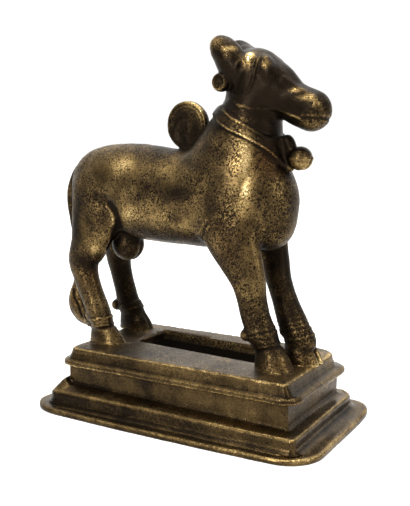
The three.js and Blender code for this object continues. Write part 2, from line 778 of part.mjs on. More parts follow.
function bull() {
  let solid = toSolid(claySkin([gridLines(gridAlong), gridLines(gridAcross), gridLines(gridUp)]));
  const parts = [tail(), hump(), collar(), collarLoop(), ball(bellPlace, bellRadius), ...headOrnaments()];
  for (const place of feet) parts.push(...foot(place));
  for (const part of parts) solid = solid.add(part);
  const geometry = toGeometry(solid);
  geometry.scale(share, share, share);
  return geometry;
}

// Assembly

function standOnPlinth(geometry) {
  const placed = geometry.clone();
  placed.rotateZ(bullTurn);
  placed.translate(bullShiftX, bullShiftY, plinthHeight);
  return placed;
}

const opening = plinthOpening();
const openingCut = toSolid(standOnPlinth(toGeometry(opening)));
const plinth = plinthBody().subtract(plinthHollow()).subtract(openingCut);
const casting = plinth.add(toSolid(standOnPlinth(bull()))).translate([plinthForward, 0, 0]);

const brass = new THREE.MeshStandardMaterial({ color: 0x6b5430, roughness: 0.42, metalness: 0.9 });
const nandi = new THREE.Mesh(toGeometry(casting), brass);
nandi.name = "nandi_casting";

const model = new THREE.Group();
model.add(nandi);

export default model;
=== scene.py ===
# %% [markdown]
# # A cast brass Nandi on an open stepped plinth
# The real figure was modelled in wax, invested and cast in one pour, so bull, trappings and plinth
# are one piece of brass. The CAD frame already gives its size, pose and place. This lesson dresses
# that frame with a finer skin: the same masses of clay, sampled closer, with the small modelling cut
# into them, and then the brown patina with the gold that rubs through it.

# %% Load the frame
import math
import bpy
import numpy as np
from mathutils import Matrix, Vector


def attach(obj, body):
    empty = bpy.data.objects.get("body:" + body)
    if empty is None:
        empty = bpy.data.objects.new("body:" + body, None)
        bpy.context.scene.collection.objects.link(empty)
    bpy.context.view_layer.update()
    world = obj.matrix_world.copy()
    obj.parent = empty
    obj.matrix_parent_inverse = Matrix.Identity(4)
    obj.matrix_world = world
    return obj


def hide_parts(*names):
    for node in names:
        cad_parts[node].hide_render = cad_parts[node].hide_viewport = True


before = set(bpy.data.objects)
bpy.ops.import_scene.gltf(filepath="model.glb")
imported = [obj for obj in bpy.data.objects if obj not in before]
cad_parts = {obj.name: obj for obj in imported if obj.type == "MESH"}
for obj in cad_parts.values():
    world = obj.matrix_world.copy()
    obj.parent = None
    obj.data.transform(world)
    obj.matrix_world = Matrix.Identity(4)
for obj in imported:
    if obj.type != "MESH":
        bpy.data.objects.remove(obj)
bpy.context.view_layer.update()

# %% [markdown]
# ## Where the bull stands
# The bull is easiest to model in its own frame: X runs from tail to muzzle, Y to its left, Z up from
# the top of the plinth, and the unit is a hundredth of the bull's height. One function carries points
# from there to the shared frame in metres.

# %% The bull's own frame
MM = 0.001
SHARE = 1.25 * MM
PLINTH_HEIGHT = 25.5 * MM
PLINTH_FORWARD = 5.6 * MM
BULL_BACK = 1.4 * MM
BULL_ASIDE = 0.25 * MM
BULL_TURN = math.radians(-4.1)
BULL_SHIFT = np.array([PLINTH_FORWARD - BULL_BACK, BULL_ASIDE, PLINTH_HEIGHT])
TURN = np.array([
    [math.cos(BULL_TURN), -math.sin(BULL_TURN), 0],
    [math.sin(BULL_TURN), math.cos(BULL_TURN), 0],
    [0, 0, 1],
])


def to_row(points):
    return (np.asarray(points, float) * SHARE) @ TURN.T + BULL_SHIFT


print("muzzle in mm", np.round(1000 * to_row([[44, 0, 78]])[0], 1))

# %% [markdown]
# ## Clay as chains of ovals
# A modeller rolls clay into tapering lengths and presses them together. Here a length is a chain of
# stations, each a place and two half-sizes, with a smooth curve run through them. The distance from
# any point to a chain can be worked out for many points at once, and a smooth minimum of those
# distances lets neighbouring masses flow together as clay does. Beyond a chain's reach its distance
# isn't worked out, and stays far.

# %% Smooth curves
SAME_PLACE = 1e-4


def smooth_curve(places, steps):
    """A curve through the places that keeps clear of loops, with so many steps between neighbours."""
    places = np.asarray(places, float)
    padded = np.vstack([2 * places[0] - places[1], places, 2 * places[-1] - places[-2]])
    curve = []
    for k in range(len(places) - 1):
        p0, p1, p2, p3 = padded[k:k + 4]
        gaps = [np.sum((b - a) ** 2) ** 0.25 for a, b in ((p0, p1), (p1, p2), (p2, p3))]
        middle = gaps[1] if gaps[1] > SAME_PLACE else 1.0
        first = gaps[0] if gaps[0] > SAME_PLACE else middle
        last = gaps[2] if gaps[2] > SAME_PLACE else middle
        leave = ((p1 - p0) / first - (p2 - p0) / (first + middle) + (p2 - p1) / middle) * middle
        arrive = ((p2 - p1) / middle - (p3 - p1) / (middle + last) + (p3 - p2) / last) * middle
        for step in range(steps):
            w = step / steps
            square = -3 * p1 + 3 * p2 - 2 * leave - arrive
            cube = 2 * p1 - 2 * p2 + leave + arrive
            curve.append(p1 + leave * w + square * w ** 2 + cube * w ** 3)
    curve.append(places[-1])
    return np.array(curve)


def nearest_on(path, points):
    """For each point, how far along the path its nearest place lies, counted in links."""
    closest = np.full(len(points), np.inf)
    position = np.zeros(len(points))
    for k in range(len(path) - 1):
        link = path[k + 1] - path[k]
        offset = points - path[k]
        along = np.clip(offset @ link / (link @ link), 0, 1)
        offset -= along[:, None] * link
        apart = np.einsum("ij,ij->i", offset, offset)
        nearer = apart < closest
        closest[nearer] = apart[nearer]
        position[nearer] = k + along[nearer]
    return position, np.sqrt(closest)


def at_position(table, position):
    index = np.minimum(position.astype(int), len(table) - 2)
    part = (position - index)[:, None]
    return table[index] * (1 - part) + table[index + 1] * part


# %% Distance to a chain of ovals
FAR = 40.0
REACH = 7.0
TINY = 1e-6
CHAIN_STEPS = 8


def beside(points, path, margin):
    return np.all((points > path.min(0) - margin) & (points < path.max(0) + margin), axis=1)


def chain(stations):
    stations = np.asarray(stations, float)
    return smooth_curve(stations[:, :3], CHAIN_STEPS), smooth_curve(stations[:, 3:], CHAIN_STEPS)


def chain_distance(links, points):
    path, sizes = links
    distance = np.full(len(points), FAR)
    near = beside(points, path, sizes.max() + REACH)
    if not near.any():
        return distance
    position, apart = nearest_on(path, points[near])
    offset = points[near] - at_position(path, position)
    deep, wide = at_position(sizes, position).T
    upright = np.hypot(offset[:, 0], offset[:, 2])
    across = offset[:, 1]
    scaled = np.hypot(upright / deep, across / wide)
    slope = np.hypot(upright / deep ** 2, across / wide ** 2)
    inside = -np.minimum(deep, wide)
    distance[near] = np.where(slope < TINY, inside, scaled * (scaled - 1) / np.maximum(slope, TINY))
    return distance


# %% Join, cut and ease
def smooth_union(a, b, blend):
    near = np.maximum(blend - np.abs(a - b), 0) / blend
    return np.minimum(a, b) - near * near * blend / 4


def smooth_cut(a, b, blend):
    """The shape a with the shape b cut off it."""
    return -smooth_union(-a, b, blend)


def ease(values, start, length):
    """Nought up to the start, one from the start plus the length, and a straight climb between."""
    return np.clip((values - start) / length, 0, 1)


def hill(values, half):
    """A bell-shaped hill of height one, round nought."""
    return np.exp(-(values / half) ** 2)


# %% [markdown]
# ## The masses of the bull
# These are the stations of the CAD solid, a few of them moved by about a millimetre: place, half-size
# in the upright plane and half-size across. Trunk, neck and brisket make the body, and head, legs,
# scrotum, horn roots, brows and the tuft of the tail are pressed onto it with a tighter blend. The far
# brow is a little flatter than the near one.

# %% Stations of the body, the head and the four legs
TRUNK = [
    (-38.8, 0, 52.6, 13, 11.8), (-35, 0, 53, 13.4, 12.5), (-31, 0, 52.5, 14.5, 13.1),
    (-25, 0, 51.3, 15.5, 13.4), (-20, 0, 50.4, 15.8, 13.4),
    (-5, 0, 49.6, 15.4, 13.4), (8, 0, 50.3, 16.2, 13.6), (17, 0, 51, 15.6, 12.8), (20.7, 0, 50, 13.3, 11.5),
]
NECK = [
    (13.5, 0, 56, 17.3, 12.3), (14.3, 0, 62, 16.4, 11.5), (16.1, 0, 69, 13.3, 10.2),
    (17.8, 0, 74.5, 10.5, 8.9), (18.8, 0, 79, 9.2, 7.9), (19.1, 0, 83, 8.7, 7.5), (19.7, 0, 87, 7.6, 7.2),
]
HEAD = [
    (20, 0, 87, 7.6, 7.2), (26, 0, 83.6, 7.65, 6.2),
    (32.5, 0, 79.4, 6.05, 4.8), (38.3, 0, 76.85, 6.05, 5.2),
]
BRISKET = [(22.2, 0, 43.7, 9.2, 8.5), (24.8, 0, 42.8, 8, 7.5)]
SCROTUM = [(-30.4, 0, 37, 5.2, 4.6), (-30.2, 0, 32.5, 5.8, 5.2)]
HORN_ROOT = [(15.4, -5, 89.6, 5, 3.9), (13.5, -5.5, 92, 4.3, 3.6)]
BROW = [(24.6, -4.4, 90.4, 2.4, 2), (26.4, -4.5, 88, 2.4, 1.9)]
FAR_BROW = [(24.4, 4.2, 89.8, 2.3, 2), (26, 4.2, 87.4, 2.3, 1.9)]
NEAR_FORE = [
    (14, -8.5, 44, 9.5, 4.8), (18, -8.8, 37, 8.4, 4.6), (20.5, -8.6, 32, 7.1, 4.3),
    (22.6, -8, 26.5, 5.8, 4), (23.9, -7.4, 20, 4.7, 3.9), (25, -7, 15, 4.6, 3.9),
    (27, -6.8, 10.5, 4.6, 4.2), (29, -6.6, 6.8, 3.9, 3.5), (30.2, -6.4, 3, 2.8, 2.8),
]
FAR_FORE = [
    (15, 8.5, 44, 9, 4.8), (19.3, 8.8, 37, 7.6, 4.5), (22.3, 8.4, 31.5, 5.3, 4.1),
    (24.9, 7.2, 25, 4.1, 3.9), (27.9, 6.2, 18.5, 4.1, 3.9), (30.4, 5.9, 13, 4.6, 4),
    (32.8, 5.8, 8.5, 4.6, 4.1), (34.6, 5.8, 5.8, 4.4, 4), (35, 5.8, 3, 2.8, 2.8),
]
NEAR_HIND = [
    (-36.8, -7.8, 47, 10.8, 5.6), (-37.9, -8.6, 39.5, 9.4, 5.3), (-39.2, -9.6, 33, 7.4, 4.8),
    (-41.1, -10.4, 27, 5.9, 4.3), (-40, -10.7, 21.5, 4.6, 3.9), (-37.6, -10.7, 16, 4.1, 3.7),
    (-34.8, -10.7, 10.5, 4.1, 3.8), (-32.8, -10.7, 6.2, 3.7, 3.4), (-31.8, -10.6, 3, 2.8, 2.8),
]
FAR_HIND = [
    (-37.5, 8, 47, 10.4, 5.6), (-40.4, 9.2, 37, 8, 5), (-42.8, 10, 30, 5.6, 4.5),
    (-43.3, 10.4, 26, 4.8, 4.2), (-42.2, 10.6, 20, 4, 3.7), (-40.6, 10.8, 14.5, 3.9, 3.6),
    (-38.9, 10.8, 9, 4.1, 3.8), (-36.8, 10.9, 5.7, 4.2, 3.7), (-36.4, 10.9, 3, 2.8, 2.8),
]
TUFT = [
    (-48, -4.2, 20.5, 1.9, 1.8), (-48, -4.8, 17.5, 2.3, 2), (-48.5, -5.8, 13.2, 3.6, 2.4),
    (-47.4, -6.9, 10.4, 3.9, 2.5), (-44.8, -8.2, 8, 3.2, 2.4), (-41.2, -9.4, 6.9, 2.7, 2.4),
    (-37.4, -10.2, 6.6, 2.4, 2.4),
]
BODY_BLEND = 3.2
LIMB_BLEND = 2.4
BROW_BLEND = 1.8
FAR_BROW_BLEND = 2.2


def mirrored(stations):
    return [(x, -y, z, *sizes) for x, y, z, *sizes in stations]


CLAY = [
    (chain(TRUNK), BODY_BLEND), (chain(NECK), BODY_BLEND), (chain(BRISKET), BODY_BLEND),
    (chain(HEAD), LIMB_BLEND), (chain(SCROTUM), LIMB_BLEND / 2),
    (chain(HORN_ROOT), LIMB_BLEND / 2), (chain(mirrored(HORN_ROOT)), LIMB_BLEND / 2),
    (chain(NEAR_FORE), LIMB_BLEND), (chain(FAR_FORE), LIMB_BLEND),
    (chain(NEAR_HIND), LIMB_BLEND), (chain(FAR_HIND), LIMB_BLEND),
    (chain(TUFT), LIMB_BLEND / 3), (chain(BROW), BROW_BLEND), (chain(FAR_BROW), FAR_BROW_BLEND),
]


def clay_distance(points):
    distance = np.full(len(points), FAR)
    for links, blend in CLAY:
        distance = smooth_union(distance, chain_distance(links, points), blend)
    return distance


print(len(CLAY), "chains,", sum(len(links[0]) - 1 for links, blend in CLAY), "links")

# %% [markdown]
# ## Horns, tail, hump, bell and beads
# These were rolled or cut as separate bits of wax and stuck on, so they meet the body in a tight line.
# Each is a distance of its own: tapering chains for the horns and the tail, a turned wheel with a
# dished face for the hump, balls for the bell, the beads and the knob at the top of each ear. The loop
# that the bell hangs from is a solid lug, with a plug of wax behind it, and a low ridge fills the poll
# between the horns.

# %% Stuck-on pieces of wax
HORN_RADIUS = 4.8
HORN_FLATNESS = 0.88
HORN_FULLNESS = 2.1
HORN_TIP = 0.0002
TAIL_RADIUS = 2.4
TAIL_WAIST = 0.9
TAIL_STEPS = 6
NEAR_HORN = [(14.8, -4.8, 89.4), (12.9, -5.5, 93.2), (10.1, -6, 96), (7.6, -6.3, 97.5)]
FAR_HORN = [(15.4, 4.8, 89.4), (12.1, 5.5, 93.1), (9, 6, 95.9), (6.6, 6.3, 97.5)]
TAIL_PATH = [
    (-46, 0, 58.6), (-51.4, 0, 57.6), (-55.4, 0, 51.8), (-56.15, 0, 44.5), (-54.2, -0.6, 37.5),
    (-51.3, -1.4, 31.5), (-49.3, -2.8, 26), (-48.3, -4.6, 19), (-48.4, -5.8, 13),
]


def horn(places):
    path = smooth_curve(places, CHAIN_STEPS)
    along = np.linspace(0, 1, len(path))
    radius = HORN_RADIUS * np.sqrt(np.maximum(1 - along ** HORN_FULLNESS, HORN_TIP))
    return path, np.column_stack([radius, HORN_FLATNESS * radius])


def tail():
    path = smooth_curve(TAIL_PATH, TAIL_STEPS)
    along = np.linspace(0, 1, len(path))
    radius = TAIL_RADIUS - TAIL_WAIST * np.sin(np.pi * np.minimum(0.8, 1.25 * along))
    return path, np.column_stack([radius, radius])


LOOP = [
    (28.6, 0, 67.3, 1.7, 1.8), (30.7, 0, 68.3, 1.6, 1.8),
    (31.8, 0, 66.6, 1.6, 1.8), (32.6, 0, 63, 1.5, 1.8),
]
POLL = [(13.6, 3, 92.9, 3.4, 3), (17.9, 2.2, 92.5, 2.8, 3), (22, 1.4, 91.3, 2.2, 2.6)]
PLUG = [(27.6, 0, 65.4, 2.6, 1.7), (30.6, 0, 65, 2.6, 1.7), (31.6, 0, 60.6, 1.7, 1.4)]
ROLLED = [
    (horn(NEAR_HORN), 0.7), (horn(FAR_HORN), 1.2), (chain(POLL), 2.6), (tail(), 1.8), (chain(LOOP), 0.8),
    (chain(PLUG), 0.6),
]


def ball(points, centre, radius):
    return np.linalg.norm(points - np.asarray(centre, float), axis=1) - radius


# %% The bell at the throat and the beads behind the ears
BELL = (35.1, 0, 63)
BELL_RADIUS = 3.62
GIRDLE_RISE = 0.3
GIRDLE_HALF = 0.45
SLIT_DEPTH = 0.8
SLIT_HALF = 0.42
SLIT_TOP = 0.6
SLIT_BACK = -2.6
BEAD = (11.6, 7, 85.3)
BEAD_RADIUS = 2.85
BEAD_STEPS = [0, 1.5, 1.9, 2.2, 2.6]
BEAD_FACE = [1.75, 1.6, 1.6, 2.0, 1.7]
BEAD_ROUNDING = 0.35
KNOB = (20.5, 5.2, 91.5)
KNOB_RADIUS = 2.3


def bell(points):
    x, y, z = (points - np.array(BELL)).T
    distance = ball(points, BELL, BELL_RADIUS)
    girdle = GIRDLE_RISE * hill(z, GIRDLE_HALF)
    slit = SLIT_DEPTH * hill(y, SLIT_HALF) * (z < SLIT_TOP) * (x > SLIT_BACK)
    return distance - girdle + slit


def bead(points, side):
    """A flattened ball whose outer face is a disc inside a thin rim."""
    x, y, z = (points - np.array([BEAD[0], side * BEAD[1], BEAD[2]])).T
    outward = side * y
    from_axis = np.hypot(x, z)
    round_side = np.linalg.norm([x, y, z], axis=0) - BEAD_RADIUS
    face = outward - np.interp(from_axis, BEAD_STEPS, BEAD_FACE)
    return smooth_cut(round_side, -face, BEAD_ROUNDING)


# %% The hump: a wheel-shaped boss with a dished face
HUMP = (-5.3, 72.7)
HUMP_RADIUS = 7.65
HUMP_ROUNDING = 0.9
HUMP_STEPS = [0, 0.3, 0.6, 0.72, 0.79, 0.84, 0.885, 0.93, 0.97, 1.05]
HUMP_HALF = [0.42, 0.5, 0.72, 0.95, 1.32, 1.05, 1.12, 1.45, 1.4, 1.2]
SCROLL = [(-9.6, 68.6), (-9.5, 71.8), (-7.6, 74.4), (-5.2, 73.6), (-4.9, 71.2), (-6.4, 69.6), (-4.6, 67.8)]
SCROLL_CURVE = smooth_curve([(x, 0, z) for x, z in SCROLL], 6)
SCROLL_RISE = 0.28
SCROLL_WIDTH = 0.6
TURNING_RISE = 0.05


def hump(points):
    distance = np.full(len(points), FAR)
    near = beside(points, np.array([[HUMP[0], 0, HUMP[1]]]), HUMP_RADIUS + REACH)
    spot = points[near]
    from_axis = np.hypot(spot[:, 0] - HUMP[0], spot[:, 2] - HUMP[1])
    half = np.interp(from_axis / HUMP_RADIUS, HUMP_STEPS, HUMP_HALF)
    flat = spot * np.array([1, 0, 1])
    half += SCROLL_RISE * hill(nearest_on(SCROLL_CURVE, flat)[1], SCROLL_WIDTH)
    half += TURNING_RISE * np.sin(from_axis * 4.2) * (from_axis < 0.7 * HUMP_RADIUS)
    side = np.abs(spot[:, 1]) - half
    rim = from_axis - HUMP_RADIUS
    distance[near] = smooth_cut(side, -rim, HUMP_ROUNDING)
    return distance


# %% [markdown]
# ## Hooves
# Each hoof is a low leaning cone, wider at the ground, with a cleft at the toe and a fine groove low
# round the foot. Two dew claws stand behind it, one each side of the heel. The rings of wax above the
# hooves come further down.

# %% Hooves
FEET = {
    "near_fore": dict(x=31.2, y=-6.3, height=7.0, half_length=6.2, half_width=4.8, cleft=0.04),
    "far_fore": dict(x=34.8, y=6.1, height=6.8, half_length=6.3, half_width=5.8, cleft=0.34),
    "near_hind": dict(x=-30.9, y=-10.3, height=5.6, half_length=6.9, half_width=4.2, cleft=0.05),
    "far_hind": dict(x=-35.4, y=11.0, height=6.8, half_length=6.9, half_width=4.8, cleft=0.1),
}
# X and Z of each pair, how far each claw stands from the middle, its radius, and the middle's Y
CLAWS = {
    "near_fore": ((22.8, 9.8), 2.4, 2.0, -6.3), "far_fore": ((29.2, 9.4), 2.2, 1.7, 6.1),
    "near_hind": ((-37.2, 8.8), 1.8, 1.7, -10.3), "far_hind": ((-42.9, 7.9), 2.0, 2.0, 11.0),
}
HOOF_SUNK = 0.5
HOOF_ROUNDING = 0.8
HOOF_STEPS = [0, 0.1, 0.5, 1.0]
HOOF_SIZES = [1.0, 1.0, 0.87, 0.67]
HOOF_LEANS = [0, 0.01, 0.12, 0.3]
CLEFT_ANGLE = 0.17
GROOVE_DEPTH = 0.1
GROOVE_LEVEL = 0.9
GROOVE_HALF = 0.35


def hoof(points, x, y, height, half_length, half_width, cleft):
    distance = np.full(len(points), FAR)
    near = beside(points, np.array([[x, y, height / 2]]), half_length + REACH)
    level = points[near, 2]
    shape = np.clip(level / height, 0, 1)
    size = np.interp(shape, HOOF_STEPS, HOOF_SIZES)
    back = np.interp(shape, HOOF_STEPS, HOOF_LEANS)
    forward = (points[near, 0] - x) / half_length + back
    across = (points[near, 1] - y) / half_width
    angle = np.arctan2(across, forward)
    notch = 1 - cleft * hill(angle, CLEFT_ANGLE)
    round_side = (np.hypot(forward, across) / (size * notch) - 1) * size * min(half_length, half_width)
    foot_line = GROOVE_DEPTH * hill(level - GROOVE_LEVEL, GROOVE_HALF)
    body = smooth_cut(round_side + foot_line, height - level, HOOF_ROUNDING)
    distance[near] = np.maximum(body, -HOOF_SUNK - level)
    return distance


def dew_claws(points, place, apart, radius, middle):
    x, z = place
    left = ball(points, (x, middle + apart, z), radius)
    right = ball(points, (x, middle - apart, z), radius)
    return np.minimum(left, right)


# %% [markdown]
# ## Small modelling
# With the masses in place the modeller draws on the wax: creases, ridges, the rim of each ear, the
# line of the mouth. Each is a curve laid on the skin, with a width and a height that is negative where
# the tool dug in. A field of such strokes is simply taken off the distance. Those of head and collar
# go on both sides. The creases of legs, flank and tuft are drawn once, on the bull's right, where they
# show, and the one between the sack's halves lies in the middle.

# %% Lay points on the skin
LEAST_SLOPE = 0.2


def skin_slope(distance_of, points, step=0.05):
    here = distance_of(points)
    slope = np.empty_like(points)
    for axis in range(3):
        moved = points.copy()
        moved[:, axis] += step
        slope[:, axis] = (distance_of(moved) - here) / step
    return here, slope


def onto_skin(distance_of, points, passes=4, longest=0.6):
    """Moves points to where the distance is zero, never by more than a little at a time."""
    placed = np.array(points, float)
    for _ in range(passes):
        here, slope = skin_slope(distance_of, placed)
        step = here / np.maximum(np.sum(slope ** 2, axis=1), LEAST_SLOPE)
        placed -= np.clip(step, -longest, longest)[:, None] * slope
    return placed


# %% Strokes drawn on the skin
STROKE_STEPS = 5
BOTH_SIDES = (1, -1)
ONCE = (1,)
# Each stroke's width, height, sides and places, as on the bull's right
DRAWN = {
    "ear back": (0.6, 0.3, BOTH_SIDES, [(18, -7.9, 91.2), (17.8, -8.4, 89.6), (17.3, -8.3, 88.1),
        (16.6, -8.1, 86.3), (16.4, -8.1, 84.5), (16.1, -7.8, 82.9)]),
    "ear front": (0.6, 0.3, BOTH_SIDES, [(23.7, -5.9, 91.3), (23.6, -6.5, 90.1), (23.3, -6.8, 88.8),
        (23, -7.2, 87.2), (22.7, -7.2, 85.7), (22, -7.3, 83.6), (21.1, -7.5, 82.1)]),
    "ear tip": (0.6, 0.3, BOTH_SIDES, [(16.2, -7.4, 81.7), (17.9, -8.1, 81.3), (19.4, -8.2, 81.3),
        (20.3, -7.6, 81.8)]),
    "ear leaf": (2.8, 0.1, BOTH_SIDES, [(20.9, -7.5, 89), (20.7, -7.6, 87.9), (20.2, -7.7, 86.2),
        (19.3, -7.6, 83.9)]),
    "ear groove": (0.6, -0.12, BOTH_SIDES, [(24.6, -5.5, 92.2), (24.3, -6.2, 90.8), (24.1, -6.7, 89.2),
        (23.8, -7.1, 87.4)]),
    "mouth": (0.55, -0.8, BOTH_SIDES, [(37.6, -4.7, 74.8), (38.8, -4.6, 74.7), (40.4, -4.3, 74.6),
        (42.4, -3, 74.5), (43.2, -1.2, 74.6), (43.3, 0, 74.6)]),
    "jaw": (0.75, 0.34, BOTH_SIDES, [(14.3, -6.8, 80), (16.6, -7.9, 79.7), (18.5, -8.5, 78.4),
        (20.4, -8, 78.1), (22, -7.4, 77.4), (25.4, -6.5, 77.5), (28.9, -4.8, 76.7), (33.2, -4.9, 75.5),
        (37.2, -5.2, 73.9)]),
    "nose edge": (1.7, 0.35, BOTH_SIDES, [(30.5, -2.9, 85.2), (33.4, -2.8, 84), (36.5, -2.9, 82.6),
        (39.4, -3.2, 80.8), (41.4, -3.5, 78.8)]),
    "flank high": (2.8, -0.5, ONCE, [(-33.4, -13.4, 49.4), (-30, -13.2, 49), (-27.8, -13, 47),
        (-26.3, -12.4, 45)]),
    "flank low": (1.9, -0.85, ONCE, [(-27.4, -12.8, 46.6), (-26, -12, 44), (-26, -10.7, 41.3),
        (-27.4, -9.5, 38.4), (-29.9, -8.4, 35), (-31.6, -8.6, 32.4)]),
    "thigh edge": (0.9, 0.28, ONCE, [(-29, -12.9, 46.4), (-27.7, -12.2, 44.4), (-27.4, -11.1, 42.1),
        (-28.1, -10, 39.6), (-29.9, -9, 36.4), (-31.1, -9.6, 33.6), (-32.7, -10.6, 30.9)]),
    "collar end": (0.55, 0.3, BOTH_SIDES, [(17.4, -10.2, 77.1), (14.7, -9.6, 76.6), (13.3, -9.5, 75.3),
        (13.4, -10, 73.9), (15, -11, 72.3)]),
    "elbow high": (0.5, 0.22, ONCE, [(8.3, -13.2, 44.7), (10, -13.3, 44.5), (11.1, -13.4, 44.2),
        (12.2, -13.4, 43.9)]),
    "elbow low": (0.6, 0.34, ONCE, [(12.2, -13.3, 43), (10.9, -12.9, 41.6), (9.8, -12.6, 40.3),
        (8.6, -11.4, 38.2)]),
    "elbow inner": (0.5, 0.2, ONCE, [(9.7, -13, 43.3), (8.6, -12.6, 41.7), (7.2, -11.8, 40.1)]),
    "elbow groove": (0.6, -0.45, ONCE, [(11, -13.1, 42.9), (9.6, -12.6, 40.9), (8.3, -11.5, 38.8),
        (7.4, -10.2, 37.1)]),
    "pastern high": (0.6, 0.25, ONCE, [(28.5, -10.2, 10.3), (29.8, -9.9, 10.3),
        (31.2, -8.8, 10.9)]),
    "pastern low": (0.6, 0.25, ONCE, [(28.8, -10.4, 8.9), (30.3, -10, 8.7), (32, -8.6, 9.3)]),
    "tuft groove": (0.9, -0.85, ONCE, [(-48.9, -8, 15.6), (-48.2, -8, 13.2), (-46.1, -8.6, 11.2),
        (-44, -9.6, 9.1), (-41.4, -11, 7.4)]),
    "tuft lock": (0.7, -0.35, ONCE, [(-50.3, -7, 13.4), (-49.4, -8.2, 9.9), (-46.6, -9.2, 7.2),
        (-43, -10.4, 5.4)]),
    "haunch": (1.4, -0.25, ONCE, [(-44.4, -9.4, 52), (-45.2, -9.6, 44), (-45.6, -10.6, 37),
        (-46, -11, 30.5)]),
    "sack part": (1.0, -0.7, ONCE, [(-35.6, 0, 36), (-35.4, 0, 31.5), (-31.5, 0, 26.8),
        (-27, 0, 28.6), (-25, 0, 33)]),
}
STROKES = []
for width, rise, sides, places in DRAWN.values():
    curve = onto_skin(clay_distance, smooth_curve(places, STROKE_STEPS))
    for side in sides:
        STROKES.append((curve * np.array([1, side, 1]), width, rise))
print(len(STROKES), "strokes")


def stroke_height(points):
    height = np.zeros(len(points))
    for curve, width, rise in STROKES:
        near = beside(points, curve, width)
        if near.any():
            apart = nearest_on(curve, points[near])[1]
            height[near] += rise * np.clip(1 - (apart / width) ** 2, 0, 1) ** 2
    return height


# %% [markdown]
# ## The collar
# A flat strap lies round the neck, narrow at the nape and broad at the throat, with a thin raised edge
# above and below. Any point near the neck has an angle round the strap and a place across it, from
# minus a half at the lower edge to a half at the upper. Height, edges and engraving follow from those.
# At the nape the strap turns into a plain roll.

# %% A strap laid round the neck
COLLAR = np.array([16.9, 0, 70.9])
COLLAR_HALF_LENGTH = 13.3
COLLAR_HALF_WIDTH = 9.2
COLLAR_SLOPE = 0.445
COLLAR_SIDE_RISE = 2.0
COLLAR_BACK_RISE = 2.8
COLLAR_BAND = 4.5
COLLAR_THROAT_BAND = 10.5
COLLAR_NAPE_BAND = 3.1
COLLAR_THICKNESS = 1.05
COLLAR_EDGE_RISE = 0.34
COLLAR_EDGE = 0.4
COLLAR_LEAN = 0.9
COLLAR_FLARE = 0.13
COLLAR_FLARE_BEHIND = 0.41
COLLAR_REACH = 16.0
THROAT_FOCUS = 8
NAPE_FOCUS = 3
ENGRAVED_TURNS = 15
ENGRAVED_ROWS = 2.2
ENGRAVED_RISE = 0.45


def collar_place(points):
    """The angle round the strap, the place across it and its width there."""
    x, y, z = points.T
    shifted = x.copy()
    for _ in range(4):
        angle = np.arctan2(y / COLLAR_HALF_WIDTH, (shifted - COLLAR[0]) / COLLAR_HALF_LENGTH)
        cos = np.cos(angle)
        throat = np.maximum(0, cos) ** THROAT_FOCUS
        nape = np.maximum(0, -cos) ** NAPE_FOCUS
        band = COLLAR_BAND + throat * (COLLAR_THROAT_BAND - COLLAR_BAND)
        band += nape * (COLLAR_NAPE_BAND - COLLAR_BAND)
        rise = (COLLAR_SIDE_RISE + COLLAR_BACK_RISE * np.maximum(0, -cos)) * np.sin(angle) ** 2
        middle = COLLAR[2] - COLLAR_SLOPE * COLLAR_HALF_LENGTH * cos + rise
        across = (z - middle) / (COLLAR_LEAN * band)
        shifted = x - (COLLAR_FLARE - COLLAR_FLARE_BEHIND * cos) * across * band
    return angle, across, band


def collar_height(points):
    height = np.zeros(len(points))
    near = beside(points, np.array([COLLAR]), COLLAR_REACH)
    if not near.any():
        return height
    angle, across, band = collar_place(points[near])
    from_edge = (0.5 - np.abs(across)) * band
    flat_strap = COLLAR_THICKNESS * np.clip(0.5 + from_edge / 0.5, 0, 1)
    rolled_strap = 1.1 * COLLAR_THICKNESS * np.sqrt(np.clip(1 - (2 * across) ** 2, 0, 1))
    behind = ease(-np.cos(angle), 0.25, 0.2)
    strap = flat_strap * (1 - behind) + rolled_strap * behind
    from_crest = (from_edge - COLLAR_EDGE) / COLLAR_EDGE
    edge = COLLAR_EDGE_RISE * np.clip(1 - from_crest ** 2, 0, 1) * (1 - behind)
    edge *= np.where(across > 0, 0.6, 1.0)
    throat = ease(np.cos(angle), 0.45, 0.25)
    turns = angle * ENGRAVED_TURNS
    rows = across * band * ENGRAVED_ROWS
    lozenges = np.abs(np.sin(turns + rows)) * np.abs(np.sin(turns - rows))
    inside = ease(from_edge, 0.9, 0.4)
    engraving = throat * inside * ENGRAVED_RISE * (lozenges - 0.4)
    height[near] = strap + edge + engraving
    return height


# %% [markdown]
# ## Bands above the hooves
# A ring of wax crosses each leg square to it, so its front stands higher than its heel. It has a raised
# line at each edge, sharpest on the near hind leg. On the fore legs a crease or more of loose skin
# lies above it.

# %% Rings round the pasterns
BANDS = [
    dict(leg=NEAR_FORE, middle=8.6, half=1.9, slope=0.28, edge=0.2, creases=1),
    dict(leg=FAR_FORE, middle=8.6, half=1.3, slope=0.26, edge=0.2, creases=3),
    dict(leg=NEAR_HIND, middle=6.75, half=1.45, slope=0.18, edge=0.36, creases=0),
    dict(leg=FAR_HIND, middle=7.6, half=1.15, slope=0.3, edge=0.2, creases=0),
]
BAND_REACH = 9
BAND_RISE = 0.16
BAND_SOFTNESS = 0.3
BAND_EDGE_IN = 0.25
FIRST_CREASE = 1.0
CREASE_GAP = 1.15
CREASE_RISE = 0.2
CREASE_FADE = 0.05
CREASE_HALF = 0.35


